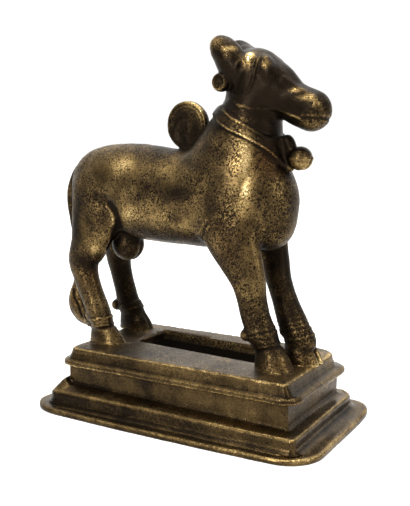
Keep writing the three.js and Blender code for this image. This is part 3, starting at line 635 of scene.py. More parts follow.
def band_height(points):
    height = np.zeros(len(points))
    for ring in BANDS:
        stations = np.asarray(ring["leg"], float)
        order = np.argsort(stations[:, 2])
        levels = stations[order, 2]
        centre_x = np.interp(points[:, 2], levels, stations[order, 0])
        centre_y = np.interp(points[:, 2], levels, stations[order, 1])
        near = (np.abs(points[:, 0] - centre_x) < 7) & (np.abs(points[:, 1] - centre_y) < 6)
        near &= np.abs(points[:, 2] - ring["middle"]) < BAND_REACH
        if not near.any():
            continue
        up = points[near, 2] - ring["middle"] - ring["slope"] * (points[near, 0] - centre_x[near])
        inside = np.clip((ring["half"] - np.abs(up)) / BAND_SOFTNESS + 0.5, 0, 1)
        edges = hill(np.abs(up) - ring["half"] + BAND_EDGE_IN, BAND_SOFTNESS)
        height[near] += BAND_RISE * inside + ring["edge"] * edges
        for crease in range(ring["creases"]):
            line = up - ring["half"] - FIRST_CREASE - CREASE_GAP * crease
            height[near] += (CREASE_RISE - CREASE_FADE * crease) * hill(line, CREASE_HALF)
    return height


# %% [markdown]
# ## Unevenness of the hand
# Nothing on a wax model is quite true. A few waves in random directions, from a fixed seed, stand for
# the thumb's unevenness, and shorter ones for the scraped and polished casting skin.

# %% Waves that stand for the hand
hand = np.random.default_rng(7)


def waves(count, shortest, longest):
    directions = hand.normal(size=(count, 3))
    directions /= np.linalg.norm(directions, axis=1)[:, None]
    lengths = hand.uniform(shortest, longest, count)
    return directions * (2 * np.pi / lengths)[:, None], hand.uniform(0, 2 * np.pi, count)


def wavering(points, family):
    turns, phases = family
    total = np.zeros(len(points))
    for turn, phase in zip(turns, phases):
        total += np.sin(points @ turn + phase)
    return total / math.sqrt(len(phases))


THUMB = waves(14, 7, 17)
SCRAPER = waves(18, 2.2, 4.5)
THUMB_DEPTH = 0.07
SCRAPER_DEPTH = 0.02
BLENDS = dict(hump=1.2, bell=0.5, bead=0.4, knob=0.5, hoof=0.4, claw=0.8)


def bull_distance(points):
    distance = clay_distance(points)
    distance -= stroke_height(points) + collar_height(points) + band_height(points)
    for links, blend in ROLLED:
        distance = smooth_union(distance, chain_distance(links, points), blend)
    distance = smooth_union(distance, hump(points), BLENDS["hump"])
    distance = smooth_union(distance, bell(points), BLENDS["bell"])
    for side in (-1, 1):
        distance = smooth_union(distance, bead(points, side), BLENDS["bead"])
        knob = ball(points, (KNOB[0], side * KNOB[1], KNOB[2]), KNOB_RADIUS)
        distance = smooth_union(distance, knob, BLENDS["knob"])
    for name, sizes in FEET.items():
        distance = smooth_union(distance, hoof(points, **sizes), BLENDS["hoof"])
        distance = smooth_union(distance, dew_claws(points, *CLAWS[name]), BLENDS["claw"])
    return distance - THUMB_DEPTH * wavering(points, THUMB) - SCRAPER_DEPTH * wavering(points, SCRAPER)


# %% [markdown]
# ## From distances to a skin
# A grid of points is laid over the bull, finer over head and hooves than over the back. Where the sign
# of the distance changes inside a cell, the skin passes, so that cell gets a point, and every grid edge
# that the skin crosses gets a square. A cell that holds two separate lumps of clay gets a point for
# each, so that close limbs never share one.

# %% Grid lines
# Each stretch: its start, its end and the spacing of its lines
GRID_X = [
    (-60.5, -26, 0.66), (-26, -14, 1.0), (-14, 4, 0.66), (4, 14.5, 0.55), (14.5, 25.5, 0.44),
    (25.5, 50, 0.54),
]
GRID_Y = [(-17.5, 17.5, 0.62)]
GRID_Z = [
    (-1.6, 14, 0.58), (14, 36, 0.8), (36, 62, 0.86), (62, 80, 0.54), (80, 93.5, 0.44),
    (93.5, 102.5, 0.54),
]
COARSE = 4
NEAR_SKIN = 3.4
AT_ONCE = 60000


def grid_lines(stretches):
    lines = [stretches[0][0]]
    for start, end, spacing in stretches:
        steps = round((end - start) / spacing)
        lines.extend(start + (end - start) * np.arange(1, steps + 1) / steps)
    return np.array(lines)


def grid_points(lines_x, lines_y, lines_z):
    return np.stack(np.meshgrid(lines_x, lines_y, lines_z, indexing="ij"), axis=-1).reshape(-1, 3)


def sampled(distance_of, lines):
    """Distances on the grid: exact near the skin, and filled in from a coarse grid elsewhere."""
    coarse_lines = [np.append(axis[:-1:COARSE], axis[-1]) for axis in lines]
    coarse = distance_of(grid_points(*coarse_lines)).reshape([len(axis) for axis in coarse_lines])
    values = coarse
    for axis, (fine_line, coarse_line) in enumerate(zip(lines, coarse_lines)):
        place = np.interp(fine_line, coarse_line, np.arange(len(coarse_line)))
        low = np.minimum(place.astype(int), len(coarse_line) - 2)
        shape = [1, 1, 1]
        shape[axis] = len(fine_line)
        part = (place - low).reshape(shape)
        values = np.take(values, low, axis) * (1 - part) + np.take(values, low + 1, axis) * part
    close = np.flatnonzero(np.abs(values.ravel()) < NEAR_SKIN)
    index = np.unravel_index(close, values.shape)
    points = np.column_stack([lines[axis][index[axis]] for axis in range(3)])
    flat = values.ravel().copy()
    for start in range(0, len(close), AT_ONCE):
        part = slice(start, start + AT_ONCE)
        flat[close[part]] = distance_of(points[part])
    print(len(close), "grid points near the skin of", flat.size)
    return flat.reshape(values.shape)


lines = [grid_lines(GRID_X), grid_lines(GRID_Y), grid_lines(GRID_Z)]
values = sampled(bull_distance, lines)

# %% Lumps of clay in a cell
CORNERS = [(corner & 1, (corner >> 1) & 1, corner >> 2) for corner in range(8)]
EDGES = [(corner, corner | axis) for axis in (1, 2, 4) for corner in range(8) if not corner & axis]
SPREADS = 6


def lump_table():
    """For each way the corners can lie inside: the number of lumps, and the lump that each corner is in."""
    table = np.full((256, 8), -1)
    counts = np.zeros(256, int)
    for case in range(256):
        lump = [corner if case >> corner & 1 else -1 for corner in range(8)]
        for _ in range(SPREADS):
            for a, b in EDGES:
                if lump[a] >= 0 and lump[b] >= 0:
                    lump[a] = lump[b] = min(lump[a], lump[b])
        names = sorted(set(lump) - {-1})
        counts[case] = len(names)
        table[case] = [names.index(name) if name >= 0 else -1 for name in lump]
    return table, counts


# %% Points in the cells
def corner_view(values, corner):
    window = [slice(None, -1), slice(1, None)]
    return values[tuple(window[offset] for offset in CORNERS[corner])]


def skin_points(values, lines):
    lump_of, lump_count = lump_table()
    case = np.zeros([n - 1 for n in values.shape], int)
    for corner in range(8):
        case += (corner_view(values, corner) < 0).astype(int) << corner
    wanted = np.where(case == 255, 0, lump_count[case])
    starts = np.cumsum(wanted.ravel()) - wanted.ravel()
    cells = np.flatnonzero(wanted.ravel())
    index = np.unravel_index(cells, case.shape)
    total = int(wanted.sum())
    sums = np.zeros((total, 3))
    hits = np.zeros(total)
    cases = case.ravel()[cells]
    for a, b in EDGES:
        depth_a = corner_view(values, a).ravel()[cells]
        depth_b = corner_view(values, b).ravel()[cells]
        crossed = (depth_a < 0) != (depth_b < 0)
        inner = np.where(depth_a < 0, a, b)[crossed]
        owner = starts[cells[crossed]] + lump_of[cases[crossed], inner]
        part = (depth_a / np.where(crossed, depth_a - depth_b, 1))[crossed]
        for axis in range(3):
            line = lines[axis]
            start = line[index[axis][crossed] + CORNERS[a][axis]]
            end = line[index[axis][crossed] + CORNERS[b][axis]]
            sums[:, axis] += np.bincount(owner, start + part * (end - start), total)
        hits += np.bincount(owner, minlength=total)
    return sums / np.maximum(hits, 1)[:, None], starts.reshape(case.shape), case, lump_of


# %% Squares on the edges
def skin_squares(values, starts, case, lump_of):
    squares = []
    for axis in range(3):
        u, v = (axis + 1) % 3, (axis + 2) % 3
        low = [slice(1, -1)] * 3
        high = list(low)
        high[axis] = slice(2, None)
        here, there = values[tuple(low)], values[tuple(high)]
        crossed = np.argwhere((here < 0) != (there < 0)) + 1
        first_inside = values[tuple(crossed.T)] < 0
        keep = crossed[:, axis] < values.shape[axis] - 1
        crossed, first_inside = crossed[keep], first_inside[keep]
        corners = []
        for back_u, back_v in ((0, 0), (1, 0), (1, 1), (0, 1)):
            cell = crossed.copy()
            cell[:, u] -= back_u
            cell[:, v] -= back_v
            bits = (back_u << u) + (back_v << v) + (np.where(first_inside, 0, 1) << axis)
            at = tuple(cell.T)
            corners.append(starts[at] + lump_of[case[at], bits])
        square = np.column_stack(corners)
        squares.append(np.where(first_inside[:, None], square, square[:, ::-1]))
    return np.vstack(squares)


points, starts, case, lump_of = skin_points(values, lines)
squares = skin_squares(values, starts, case, lump_of)
print(len(points), "points,", len(squares), "squares")

# %% [markdown]
# ## Evening the skin out
# Straight from the grid the squares bunch up on slopes. Each point moves part of the way to the middle
# of its neighbours and is then laid back on the skin, a few times over.

# %% Even out and lay back


def even_out(points, squares, passes, pull):
    ends = np.concatenate([squares[:, [k, (k + 1) % 4]] for k in range(4)])
    number = np.bincount(ends.ravel(), minlength=len(points))
    for _ in range(passes):
        middle = np.empty_like(points)
        for axis in range(3):
            total = np.bincount(ends[:, 0], points[ends[:, 1], axis], len(points))
            total += np.bincount(ends[:, 1], points[ends[:, 0], axis], len(points))
            middle[:, axis] = total / np.maximum(number, 1)
        points = points + pull * (middle - points)
        points = onto_skin(bull_distance, points, passes=1, longest=0.5)
    return points


points = onto_skin(bull_distance, points, passes=1, longest=0.4)
points = even_out(points, squares, passes=3, pull=0.45)
points = onto_skin(bull_distance, points, passes=1, longest=0.3)
print("skin lies within", np.round(np.percentile(np.abs(bull_distance(points)), 99), 3), "shares of true")

# %% [markdown]
# ## How the metal wears, and where shade is painted
# Fingers polish what stands proud and leave the patina in what lies sunk. Both can be read from the
# distances: their mean around a point, compared with the value at it, tells how strongly the skin bends
# there. A look along the outward direction tells how closed in a place is; that darkens the metal as
# patina in hollows and as painted shade in sheltered places, such as between the legs. The weights were
# set by comparing renders with the photograph.

# %% Bends and shelter
FINE_RADIUS = 0.7
BROAD_RADIUS = 2.2
STILL_FLAT = 0.12
# How far out each look goes, and its weight
LOOKS = [(1.5, 0.45), (3.5, 0.33), (7.0, 0.22)]


def bend(distance_of, points, radius):
    total = np.zeros(len(points))
    for axis in range(3):
        for sign in (-1, 1):
            moved = points.copy()
            moved[:, axis] += sign * radius
            total += distance_of(moved)
    return (total - 6 * distance_of(points)) / radius ** 2


def shelter(distance_of, points, outward):
    grime_and_shade = np.zeros(len(points))
    for far, weight in LOOKS:
        grime_and_shade += np.clip(1 - distance_of(points + far * outward) / far, 0, 1) * weight
    return grime_and_shade


here, slope = skin_slope(bull_distance, points)
outward = slope / np.maximum(np.linalg.norm(slope, axis=1), TINY)[:, None]
fine_bend = bend(bull_distance, points, FINE_RADIUS)
broad_bend = bend(bull_distance, points, BROAD_RADIUS)
bull_proud = np.clip(0.55 * fine_bend - STILL_FLAT, 0, 1) + np.clip(0.8 * broad_bend - STILL_FLAT, 0, 0.8)
bull_sunk = np.clip(-0.9 * fine_bend, 0, 1) + np.clip(-1.4 * broad_bend, 0, 1)
# Closed-in places: patina in hollows, and painted shade where the skin is sheltered
bull_grime_and_shade = shelter(bull_distance, points, outward)
for name, amount in (("proud", bull_proud), ("sunk", bull_sunk), ("grime_and_shade", bull_grime_and_shade)):
    print(name, np.round(np.percentile(amount, [5, 50, 90, 99]), 2))


# %% [markdown]
# ## Places rubbed bright, places left dark, and painted light and shade
# Wear on the real bull isn't only a matter of edges. Fingers have kept the neck's front edge, the rump,
# the ear's knob and the horn's tip bright, and the throat, the hump's foot and the creases stay dark.
# Other spots paint light and shade: painted highlights on the neck's front edge, the horn, the brow,
# the muzzle, the collar's upper edge and the jaw line, painted bounce light from the floor along the
# belly's worn lower edge, and painted shade on the far legs, under the jaw, under the horn and in the
# flank crease. Soft spots, each a place, a size and a strength, paint these onto the skin. Warm spots
# are reddish stains, and smooth ones are burnished, with few pits.

# %% Soft spots
# Each spot: its middle, its half-sizes and its strength
RUBBED_AND_HIGHLIGHT_SPOTS = [
    # The neck's front edge: rubbed gold, with a painted highlight of the tall left lamp on it
    ((22, -9.5, 65), (2.2, 4, 6), 1), ((23.4, -11, 55), (2.4, 4, 8), 0.7),
    ((17, -12.4, 60), (3, 4, 9), 0.18), ((-23, -11, 60), (4.6, 4, 2.8), 0.8),
    ((-9, -11, 58.6), (10, 4, 3), 0.25), ((20.7, -6.4, 91.8), (2.1, 2.6, 2.1), 1.6),
    # A painted highlight on the brow, then one on the collar's upper edge
    ((26.1, -5.8, 90.1), (1.2, 2, 1.6), 1), ((19.8, -8.8, 73.8), (2, 1.5, 0.8), 0.8),
    # A painted highlight along the muzzle, here and in the first spot of the next line
    ((34.4, -3.8, 82.5), (2.4, 1.6, 0.9), 1.1), ((38.2, -4.2, 80.4), (2.6, 1.6, 1), 1.3),
    ((41.3, -3.9, 78.3), (1.6, 1.6, 1.2), 0.6), ((11.6, -9.6, 85.3), (3, 2.5, 3), 0.2),
    # A painted highlight on the horn's upper side, then the horn's rubbed tip
    ((14.8, -8.4, 94.8), (2.4, 2, 0.8), 1.2), ((10.6, -8.8, 96.6), (1.6, 3, 1.8), 0.5),
    ((15, -9, 92.6), (1.6, 2, 1.2), 0.35), ((20.7, -7.6, 88.8), (1.4, 2, 1.3), 0.35),
    # The jaw line, here and in the first spot of the next line: a raised line rubbed bright, with a painted
    # highlight
    ((19, -8.5, 78.4), (2.4, 3, 0.6), 0.7), ((26, -6.5, 77.4), (5, 3, 0.5), 0.35),
    ((34, -5, 75.2), (4, 3, 0.5), 0.5), ((0, -1.4, 77), (2, 2, 3.4), 0.5),
    ((-4, -1.4, 80), (3.5, 2, 1.4), 0.4), ((-27.6, -11, 41), (1.6, 3, 4.5), 0.55),
    ((-34.2, -12.9, 31.7), (1.8, 3, 1.6), 0.6), ((35.1, -1, 60.6), (4, 4, 1.4), 0.5),
    # From the second spot here through the next line: the belly's worn lower edge, with painted bounce
    # light from the floor
    ((14, -13, 37.6), (3, 3, 4), 0.4), ((-19, -12, 44), (4, 4, 3), 0.4),
    ((-8, -12, 43.5), (9, 4, 3), 0.42), ((1, -11, 41), (5, 4, 2.5), 0.42),
    ((39, -3, 72.4), (3, 3, 1.4), 0.4), ((-36, -13.8, 12), (3, 4, 5), 0.12),
    ((-49.8, -9, 13), (1.2, 3, 5), 0.4),
]
PATINA_AND_SHADE_SPOTS = [
    # The second spot here is painted shade under the jaw
    ((28, 0, 68), (5.5, 7, 5.5), 0.6), ((20, -3, 79.5), (9, 9, 3), 0.5), ((27, -3, 84), (9, 8, 7), 0.45),
    ((30, 0, 84), (19, 16, 13), 0.7), ((12.5, 0, 93), (6, 14, 9), 0.6),
    # The second spot here is painted shade under the horn, between it and the ear
    ((19.5, -7.6, 84), (3.6, 3, 3.2), 0.3), ((17.5, -9, 90), (1.6, 3, 3), 0.3),
    ((13.5, 0, 88.4), (3.4, 9, 3), 0.4), ((8, 0, 76.5), (5, 9, 4), 0.5),
    ((35.1, 0, 65.6), (4, 4, 2), 0.7), ((1, -13, 51.6), (3.6, 5, 1.8), 0.5),
    ((12.5, -13, 50.5), (3, 5, 5), 0.4), ((-1, -12, 43.4), (1.8, 4, 1.4), 0.5),
    # The flank crease: patina, with painted shade in it
    ((-26.6, -12, 46), (3, 5, 3), 0.35), ((-27, -8, 39), (1.6, 5, 5), 0.3),
    ((-39, -13.3, 47.5), (5, 4, 3.6), 0.35), ((-34, -13.6, 40), (4, 3, 6), 0.3),
    ((-42, -14, 36), (3.4, 4, 9), 0.5), ((-38.5, -14, 27), (4, 5, 3), 0.5),
    # The far legs stand in the body's shade: painted shade on the far hind leg (end of this line), the far
    # fore leg (start of the next) and the far hind hoof (end of the one after)
    ((-35.8, -11, 25), (2, 4, 2.6), 0.35), ((-42.6, 10, 22), (9, 6, 24), 0.5),
    ((27, 7, 22), (8, 5, 24), 0.45), ((-54, 0, 44), (5, 4, 24), 0.6), ((-30, 0, 33), (6, 6, 6), 0.45),
    ((-6, 0, 71), (9, 5, 9), 0.6), ((-10, -1, 77), (4.5, 3, 5), 0.35), ((-36, 11, 5), (8, 6, 7), 0.5),
    ((15, 3, 97), (8, 8, 5), 0.3), ((30, -7, 6), (5, 6, 8), 0.35), ((-33, -11, 3), (6, 6, 4), 0.2),
    ((17, -12, 38), (5, 4, 7), 0.25), ((-37, -13, 16), (5, 5, 7), 0.22), ((-8, -13, 52), (7, 5, 3), 0.15),
]
WARM_SPOTS = [
    ((27.5, -6, 62), (3.4, 5, 5), 1), ((33, -3, 1.5), (9, 7, 3), 0.6), ((18, -10, 37), (6, 6, 6), 0.4),
    ((-47.5, -8, 11), (2, 3, 4), 0.7), ((-36.5, -11, 22), (4, 5, 4), 0.5),
]
SMOOTH_SPOTS = [
    ((27, 0, 84), (14, 12, 9), 1), ((12, 0, 93), (8, 12, 8), 1), ((35, 0, 64), (6, 6, 6), 1),
    ((31.2, -6.3, 3), (8, 7, 4), 0.7), ((-31, -10, 3), (8, 7, 4), 0.7), ((-5.3, 0, 73), (9, 6, 9), 0.5),
]


def spotted(points, spots):
    total = np.zeros(len(points))
    for centre, size, strength in spots:
        scaled = (points - np.array(centre, float)) / np.array(size, float)
        total += strength * np.exp(-np.sum(scaled ** 2, axis=1))
    return total


def collar_gilding(points):
    """The strap is brightest at the side, and darker at the throat, the nape and the upper edge."""
    gilding = np.zeros(len(points))
    near = beside(points, np.array([COLLAR]), COLLAR_REACH)
    angle, across, band = collar_place(points[near])
    on_strap = np.clip((0.5 - np.abs(across)) * band / 0.6, 0, 1)
    side = ease(-np.cos(angle), -0.75, 0.3)
    nape = ease(-np.cos(angle), 0.3, 0.2)
    upper_edge = across > 0.33
    gilding[near] = on_strap * (0.02 * side - 0.35 * (1 - side) - 0.25 * nape - 0.35 * upper_edge)
    return gilding


# Rubbed and dark places, with painted highlights, painted bounce light and painted shade among them
bull_gold_and_light = spotted(points, RUBBED_AND_HIGHLIGHT_SPOTS) - spotted(points, PATINA_AND_SHADE_SPOTS) + collar_gilding(points)
bull_warm = spotted(points, WARM_SPOTS)
bull_smooth = np.minimum(spotted(points, SMOOTH_SPOTS), 1)

# %% Make the bull's mesh
def new_piece(name, places, faces, layers):
    mesh = bpy.data.meshes.new(name)
    mesh.from_pydata(np.asarray(places).tolist(), [], faces)
    for layer, amounts in layers.items():
        attribute = mesh.attributes.new(layer, "FLOAT", "POINT")
        attribute.data.foreach_set("value", np.asarray(amounts, np.float32))
    mesh.validate()
    piece = bpy.data.objects.new(name, mesh)
    bpy.context.scene.collection.objects.link(piece)
    return piece


bull_layers = dict(
    proud=bull_proud, sunk=bull_sunk, grime_and_shade=bull_grime_and_shade, gold=bull_gold_and_light, warm=bull_warm, smooth=bull_smooth,
)
nandi = new_piece("nandi", to_row(points), squares.tolist(), bull_layers)
print("bull:", len(nandi.data.vertices), "points")

# %% [markdown]
# ## The plinth's outline
# Every level of the plinth is a rectangle with round corners. One function draws it with many points,
# always as many, so that levels can be joined into courses. The courses weren't cut alike: on the base
# and the top the front left corner is the roundest, and the top keeps a sharp one at its front right.

# %% Outline of one level
BASE_TOP = 8.5
TOP = 25.5
DADO_LENGTH = 98.6
DADO_WIDTH = 50.6
ROUNDING = 0.8
WALL = 3.2
CORNER_STEPS = 8
END_STEPS = 26
SIDE_STEPS = 58
FLANGE_END = 13.2
FLANGE_SIDE = 12.1
FLANGE_BOW = 0.8
BASE_END = 5.75
BASE_SIDE = 7
# Corner radii, or what is added to them: front left, rear left, rear right, front right
FLANGE_CORNERS = (14.4, 12, 13.2, 14.4)
BASE_ROUNDER = (4, 0, 0, -2)
TOP_ROUNDER = (3.7, 0, 0, -2.8)
EVEN = (0, 0, 0, 0)
SHARPEST = 0.35
SPLAY_FOOT = 4
SPLAY_END_RISE = 2.3
SPLAY_TILT = 0.9


def plan_ring(height, half_length, half_width, radii, bow=0.0):
    """Places of one level, with the direction that points outward at each."""
    ring = []
    out = []
    signs = [(1, 1), (-1, 1), (-1, -1), (1, -1)]
    centres = [np.array([sign_x * (half_length - radius), sign_y * (half_width - radius)])
               for (sign_x, sign_y), radius in zip(signs, radii)]
    for corner, (sign_x, sign_y) in enumerate(signs):
        centre = centres[corner]
        last = centres[(corner + 1) % 4]
        for step in range(CORNER_STEPS + 1):
            angle = math.radians(90 * corner + 90 * step / CORNER_STEPS)
            turn = np.array([math.cos(angle), math.sin(angle)])
            ring.append(centre + radii[corner] * turn)
            out.append(turn)
        along_x = corner % 2 == 0
        steps = SIDE_STEPS if along_x else END_STEPS
        straight = np.array([0, sign_y]) if along_x else np.array([sign_x, 0])
        for step in range(1, steps):
            part = step / steps
            middle = centre * (1 - part) + last * part
            if along_x:
                spot = np.array([middle[0], sign_y * (half_width + bow * math.sin(math.pi * part))])
            else:
                spot = np.array([sign_x * half_length, middle[1]])
            ring.append(spot)
            out.append(straight)
    return np.column_stack([ring, np.full(len(ring), height)]), np.column_stack([out, np.zeros(len(out))])


# %% Courses of the plinth
def course(height, out_end, out_side, radius, rounder=EVEN):
    radii = [max(radius + more, SHARPEST) for more in rounder]
    return plan_ring(height, DADO_LENGTH / 2 + out_end, DADO_WIDTH / 2 + out_side, radii)


def base_course(height, out_end, out_side, radius):
    return course(height, out_end, out_side, radius, BASE_ROUNDER)


def top_course(height, out_end, out_side, radius):
    return course(height, out_end, out_side, radius, TOP_ROUNDER)


def flange_course(height, inset):
    radii = [radius - inset for radius in FLANGE_CORNERS]
    half_length = DADO_LENGTH / 2 + FLANGE_END - inset
    half_width = DADO_WIDTH / 2 + FLANGE_SIDE - inset
    return plan_ring(height, half_length, half_width, radii, FLANGE_BOW)


def splay_course(height, out_end, out_side, radius, end_share):
    """The splay was modelled by hand: it climbs towards the tail, and more steeply on that end."""
    ring, out = course(height, out_end, out_side, radius, BASE_ROUNDER if out_side > SPLAY_FOOT else EVEN)
    past_corner = np.clip((ROUNDING - ring[:, 0] - DADO_LENGTH / 2) / ROUNDING, 0, 1)
    ring[:, 2] += end_share * SPLAY_END_RISE * past_corner
    ring[:, 2] -= end_share * SPLAY_TILT * ring[:, 0] / (DADO_LENGTH / 2)
    return ring, out


# %% [markdown]
# ## The plinth's profile
# From the floor up: a thin flange, a hollow, the base course, a splay, the upright dado, a lip that
# stands out like a drip, and the top course. Each row below is a level, and its last two numbers are
# how rubbed and how dark the metal is there. Edges get two or three close levels, to stay crisp.

# %% Profile
PROFILE = []


def add_levels(draw, table):
    for *shape, rub, grime in table:
        PROFILE.append((draw(*shape), rub, grime))


# Height, inset
add_levels(flange_course, [
    (0, 3, 0, 0.5), (0, 0.5, 0, 0.4), (0.12, 0.1, 0.3, 0.2), (0.4, 0, 0.2, 0.3), (0.95, 0, 0.1, 0.3),
    (1.45, 0, 0.5, 0), (1.9, 0.2, 1, 0), (2.12, 0.7, 0.8, 0), (2.25, 1.3, 0.35, 0), (2.27, 2.2, 0.2, 0.1),
    (2.25, 3.2, 0.1, 0.15), (2.3, 4.2, 0, 0.25),
])
# Height, how far out past the dado at the ends and at the sides, corner radius
add_levels(base_course, [
    (2.6, 7.6, 8.2, 6.2, 0, 0.45), (3.15, 6.5, 7.6, 5.2, 0, 0.8), (3.55, 6.15, 7.4, 4.6, 0, 0.7),
    (3.8, 6.1, 7.36, 4.4, 0.15, 0.3), (4.1, 5.95, 7.2, 4.2, 0.2, 0.2), (4.6, 5.78, 7.02, 4, 0, 0.3),
    (5.3, 5.75, 7, 4, 0, 0.35), (6.1, 5.75, 7, 4, 0, 0.3), (6.8, 5.72, 6.96, 3.9, 0, 0.4),
    (7.3, 5.6, 6.82, 3.8, 0.1, 0.2), (7.7, 5.35, 6.55, 3.6, 0.5, 0), (8, 5, 6.15, 3.4, 0.9, 0),
])
# The same, and the share of the climb on the tail's end
add_levels(splay_course, [
    (8.2, 4.5, 5.6, 3.1, 0.15, 0.55, 0), (8.37, 3.9, 4.8, 2.8, 0.35, 0.2, 0.1),
    (8.55, 3.2, 3.95, 2.4, 0.55, 0.1, 0.1), (8.78, 2.5, 3, 2, 0.8, 0, 0.15),
    (9.1, 1.5, 1.8, 1.8, 1, 0, 0.3), (9.4, 0.75, 0.8, 1.5, 1, 0, 0.55), (9.8, 0.25, 0.25, 1.1, 1, 0, 0.8),
    (10.3, 0.02, 0.02, 0.9, 1, 0, 0.6), (10.9, 0, 0, 0.8, 1, 0, 0.4),
])
add_levels(course, [
    (12.2, 0, 0, 0.8, 0, 0.3), (13.6, 0, 0, 0.8, 0, 0.3), (15, 0, 0, 0.8, 0, 0.3),
    (16.4, 0, 0, 0.8, 0, 0.4), (17.4, 0, 0, 0.8, 0, 0.6), (17.85, 0.05, 0.05, 0.9, 0, 0.9),
    (18, 0.5, 0.4, 2, 0, 0.8), (18, 1.9, 1.1, 4.2, 0, 0.6), (18.02, 3, 1.8, 6, 0.2, 0.3),
    (18.1, 3.6, 2.3, 6.7, 1, 0), (18.3, 3.95, 2.62, 7.1, 1.4, 0), (18.6, 4.08, 2.74, 7.2, 1.2, 0),
    (18.9, 4.1, 2.75, 7.2, 0.3, 0.3), (19.2, 4.1, 2.75, 7.2, 0, 0.5), (19.6, 4.08, 2.73, 7.2, 0.05, 0.35),
    (19.95, 3.95, 2.62, 7.1, 0.45, 0), (20.25, 3.62, 2.35, 6.8, 0.4, 0.1),
    (20.5, 3.2, 1.98, 6.4, 0.1, 0.3), (20.75, 2.4, 1.7, 5.9, 0.05, 0.4),
])
add_levels(top_course, [
    (20.98, 1.5, 1.55, 5.1, 0, 0.85), (21.3, 0.98, 1.46, 4.8, 0, 0.7), (22, 0.8, 1.35, 4.8, 0, 0.35),
    (22.9, 0.35, 1.15, 4.8, 0, 0.25), (23.8, 0.05, 1.02, 4.8, 0, 0.2), (24.4, -0.1, 0.98, 4.75, 0.1, 0.1),
    (24.8, -0.25, 0.9, 4.6, 0.4, 0), (25.1, -0.5, 0.74, 4.4, 1.1, 0), (25.3, -0.95, 0.46, 4.1, 1.3, 0),
    (25.42, -1.5, 0.1, 3.8, 0.8, 0), (25.48, -2.1, -0.4, 3.7, 0.35, 0), (25.5, -2.9, -1.1, 3.6, 0.1, 0),
    (25.5, -4.2, -2.6, 3.2, 0.1, 0), (25.5, -7, -5.4, 3, 0, 0), (25.5, -11, -9.4, 2.6, 0, 0),
])
add_levels(course, [
    (25.5, -16, -14.4, 2.2, 0, 0), (25.5, -21, -19.4, 1.6, 0, 0), (25.5, -25, -23.4, 0.8, 0, 0),
])
print(len(PROFILE), "levels of", len(PROFILE[0][0][0]), "points")

# %% [markdown]
# ## Closing the levels into a body
# Neighbouring levels are joined by squares, and the first and last are closed by a fan. On the real
# plinth three corners of the flange are bent up, all but the front right one, the far edge of the top
# stands a little higher than the near one, and the edges are nicked. So the levels are lifted, and
# moved by small waves, before they are joined. The waves never push the rim outwards.

# %% Loft and lift
NICKS = waves(26, 1.6, 5.5)
WAVER = waves(10, 14, 40)
# The end, the side and the lift in mm of each bent corner: -1 is the tail's end, or the bull's right
CORNER_LIFTS = [(-1, 1, 2.1), (1, 1, 2.4), (-1, -1, 1.0)]
LIFT_TOP = 6.5
LIFT_FADE = 3.5


def loft(rings):
    count = len(rings[0])
    places = np.vstack([*rings, rings[0].mean(0), rings[-1].mean(0)])
    faces = []
    for level in range(len(rings) - 1):
        for k in range(count):
            a = level * count + k
            b = level * count + (k + 1) % count
            faces.append((a, b, b + count, a + count))
    top = (len(rings) - 1) * count
    for k in range(count):
        follow = (k + 1) % count
        faces.append((len(places) - 2, follow, k))
        faces.append((len(places) - 1, top + k, top + follow))
    return places, faces


def lifted(ring):
    """Three corners of the flange are bent up."""
    low = ease(-ring[:, 2], -LIFT_TOP, LIFT_FADE)
    for end_sign, side_sign, lift in CORNER_LIFTS:
        side = ease(side_sign * ring[:, 1], 14, 24)
        end = ease(end_sign * ring[:, 0], 44, 18)
        ring[:, 2] += lift * (end * side) ** 1.5 * low
    return ring


# %% Roughen the levels and join them
FAR_EDGE_RISE = 0.45
TOP_PLATE = 1.5
RIM_TOP = 2.4
NICK_DEPTH = 0.05
NICK_DEPTH_RUBBED = 0.10
NICK_RISE = 0.06
WAVER_DEPTH = 0.10
FLUSH = 0.01
rings = []
rubbed = []
grimy = []
for (ring, out), rub, grime in PROFILE:
    flat_top = ring[0, 2] >= TOP - FLUSH
    on_floor = ring[0, 2] <= FLUSH
    amount = 0 if flat_top or on_floor else 1
    nick = (NICK_DEPTH + NICK_DEPTH_RUBBED * rub) * wavering(ring * np.array([1, 1, 0.3]), NICKS)
    waver = WAVER_DEPTH * wavering(ring * np.array([1, 1, 2.0]), WAVER)
    push = nick + waver
    if ring[0, 2] < RIM_TOP:
        push = np.minimum(push, 0)
    ring = ring + amount * push[:, None] * out
    ring[:, 2] += amount * NICK_RISE * rub * wavering(ring[:, [1, 0, 2]], NICKS)
    ring[:, 2] += FAR_EDGE_RISE * (ring[0, 2] > TOP - TOP_PLATE) * ease(ring[:, 1], 4, 14)
    rings.append(lifted(ring))
    rubbed.append(np.full(len(ring), rub) + 0.2 * rub * wavering(ring, NICKS))
    grimy.append(np.full(len(ring), grime))
places, faces = loft(rings)

# %% Wear on the plinth, and painted light on the muzzle's end
NEAR_TOP = 25.4
DADO_ZONE = (10.5, 17.6)
BASE_ZONE = (2.9, 7.2)
rubbed = np.append(np.concatenate(rubbed), [0, 0])
grimy = np.append(np.concatenate(grimy), [0.5, 0])
still = np.zeros(len(places))
FORWARD_MM = np.array([PLINTH_FORWARD / MM, 0, 0])
place_mm = places + FORWARD_MM
level = place_mm[:, 2]
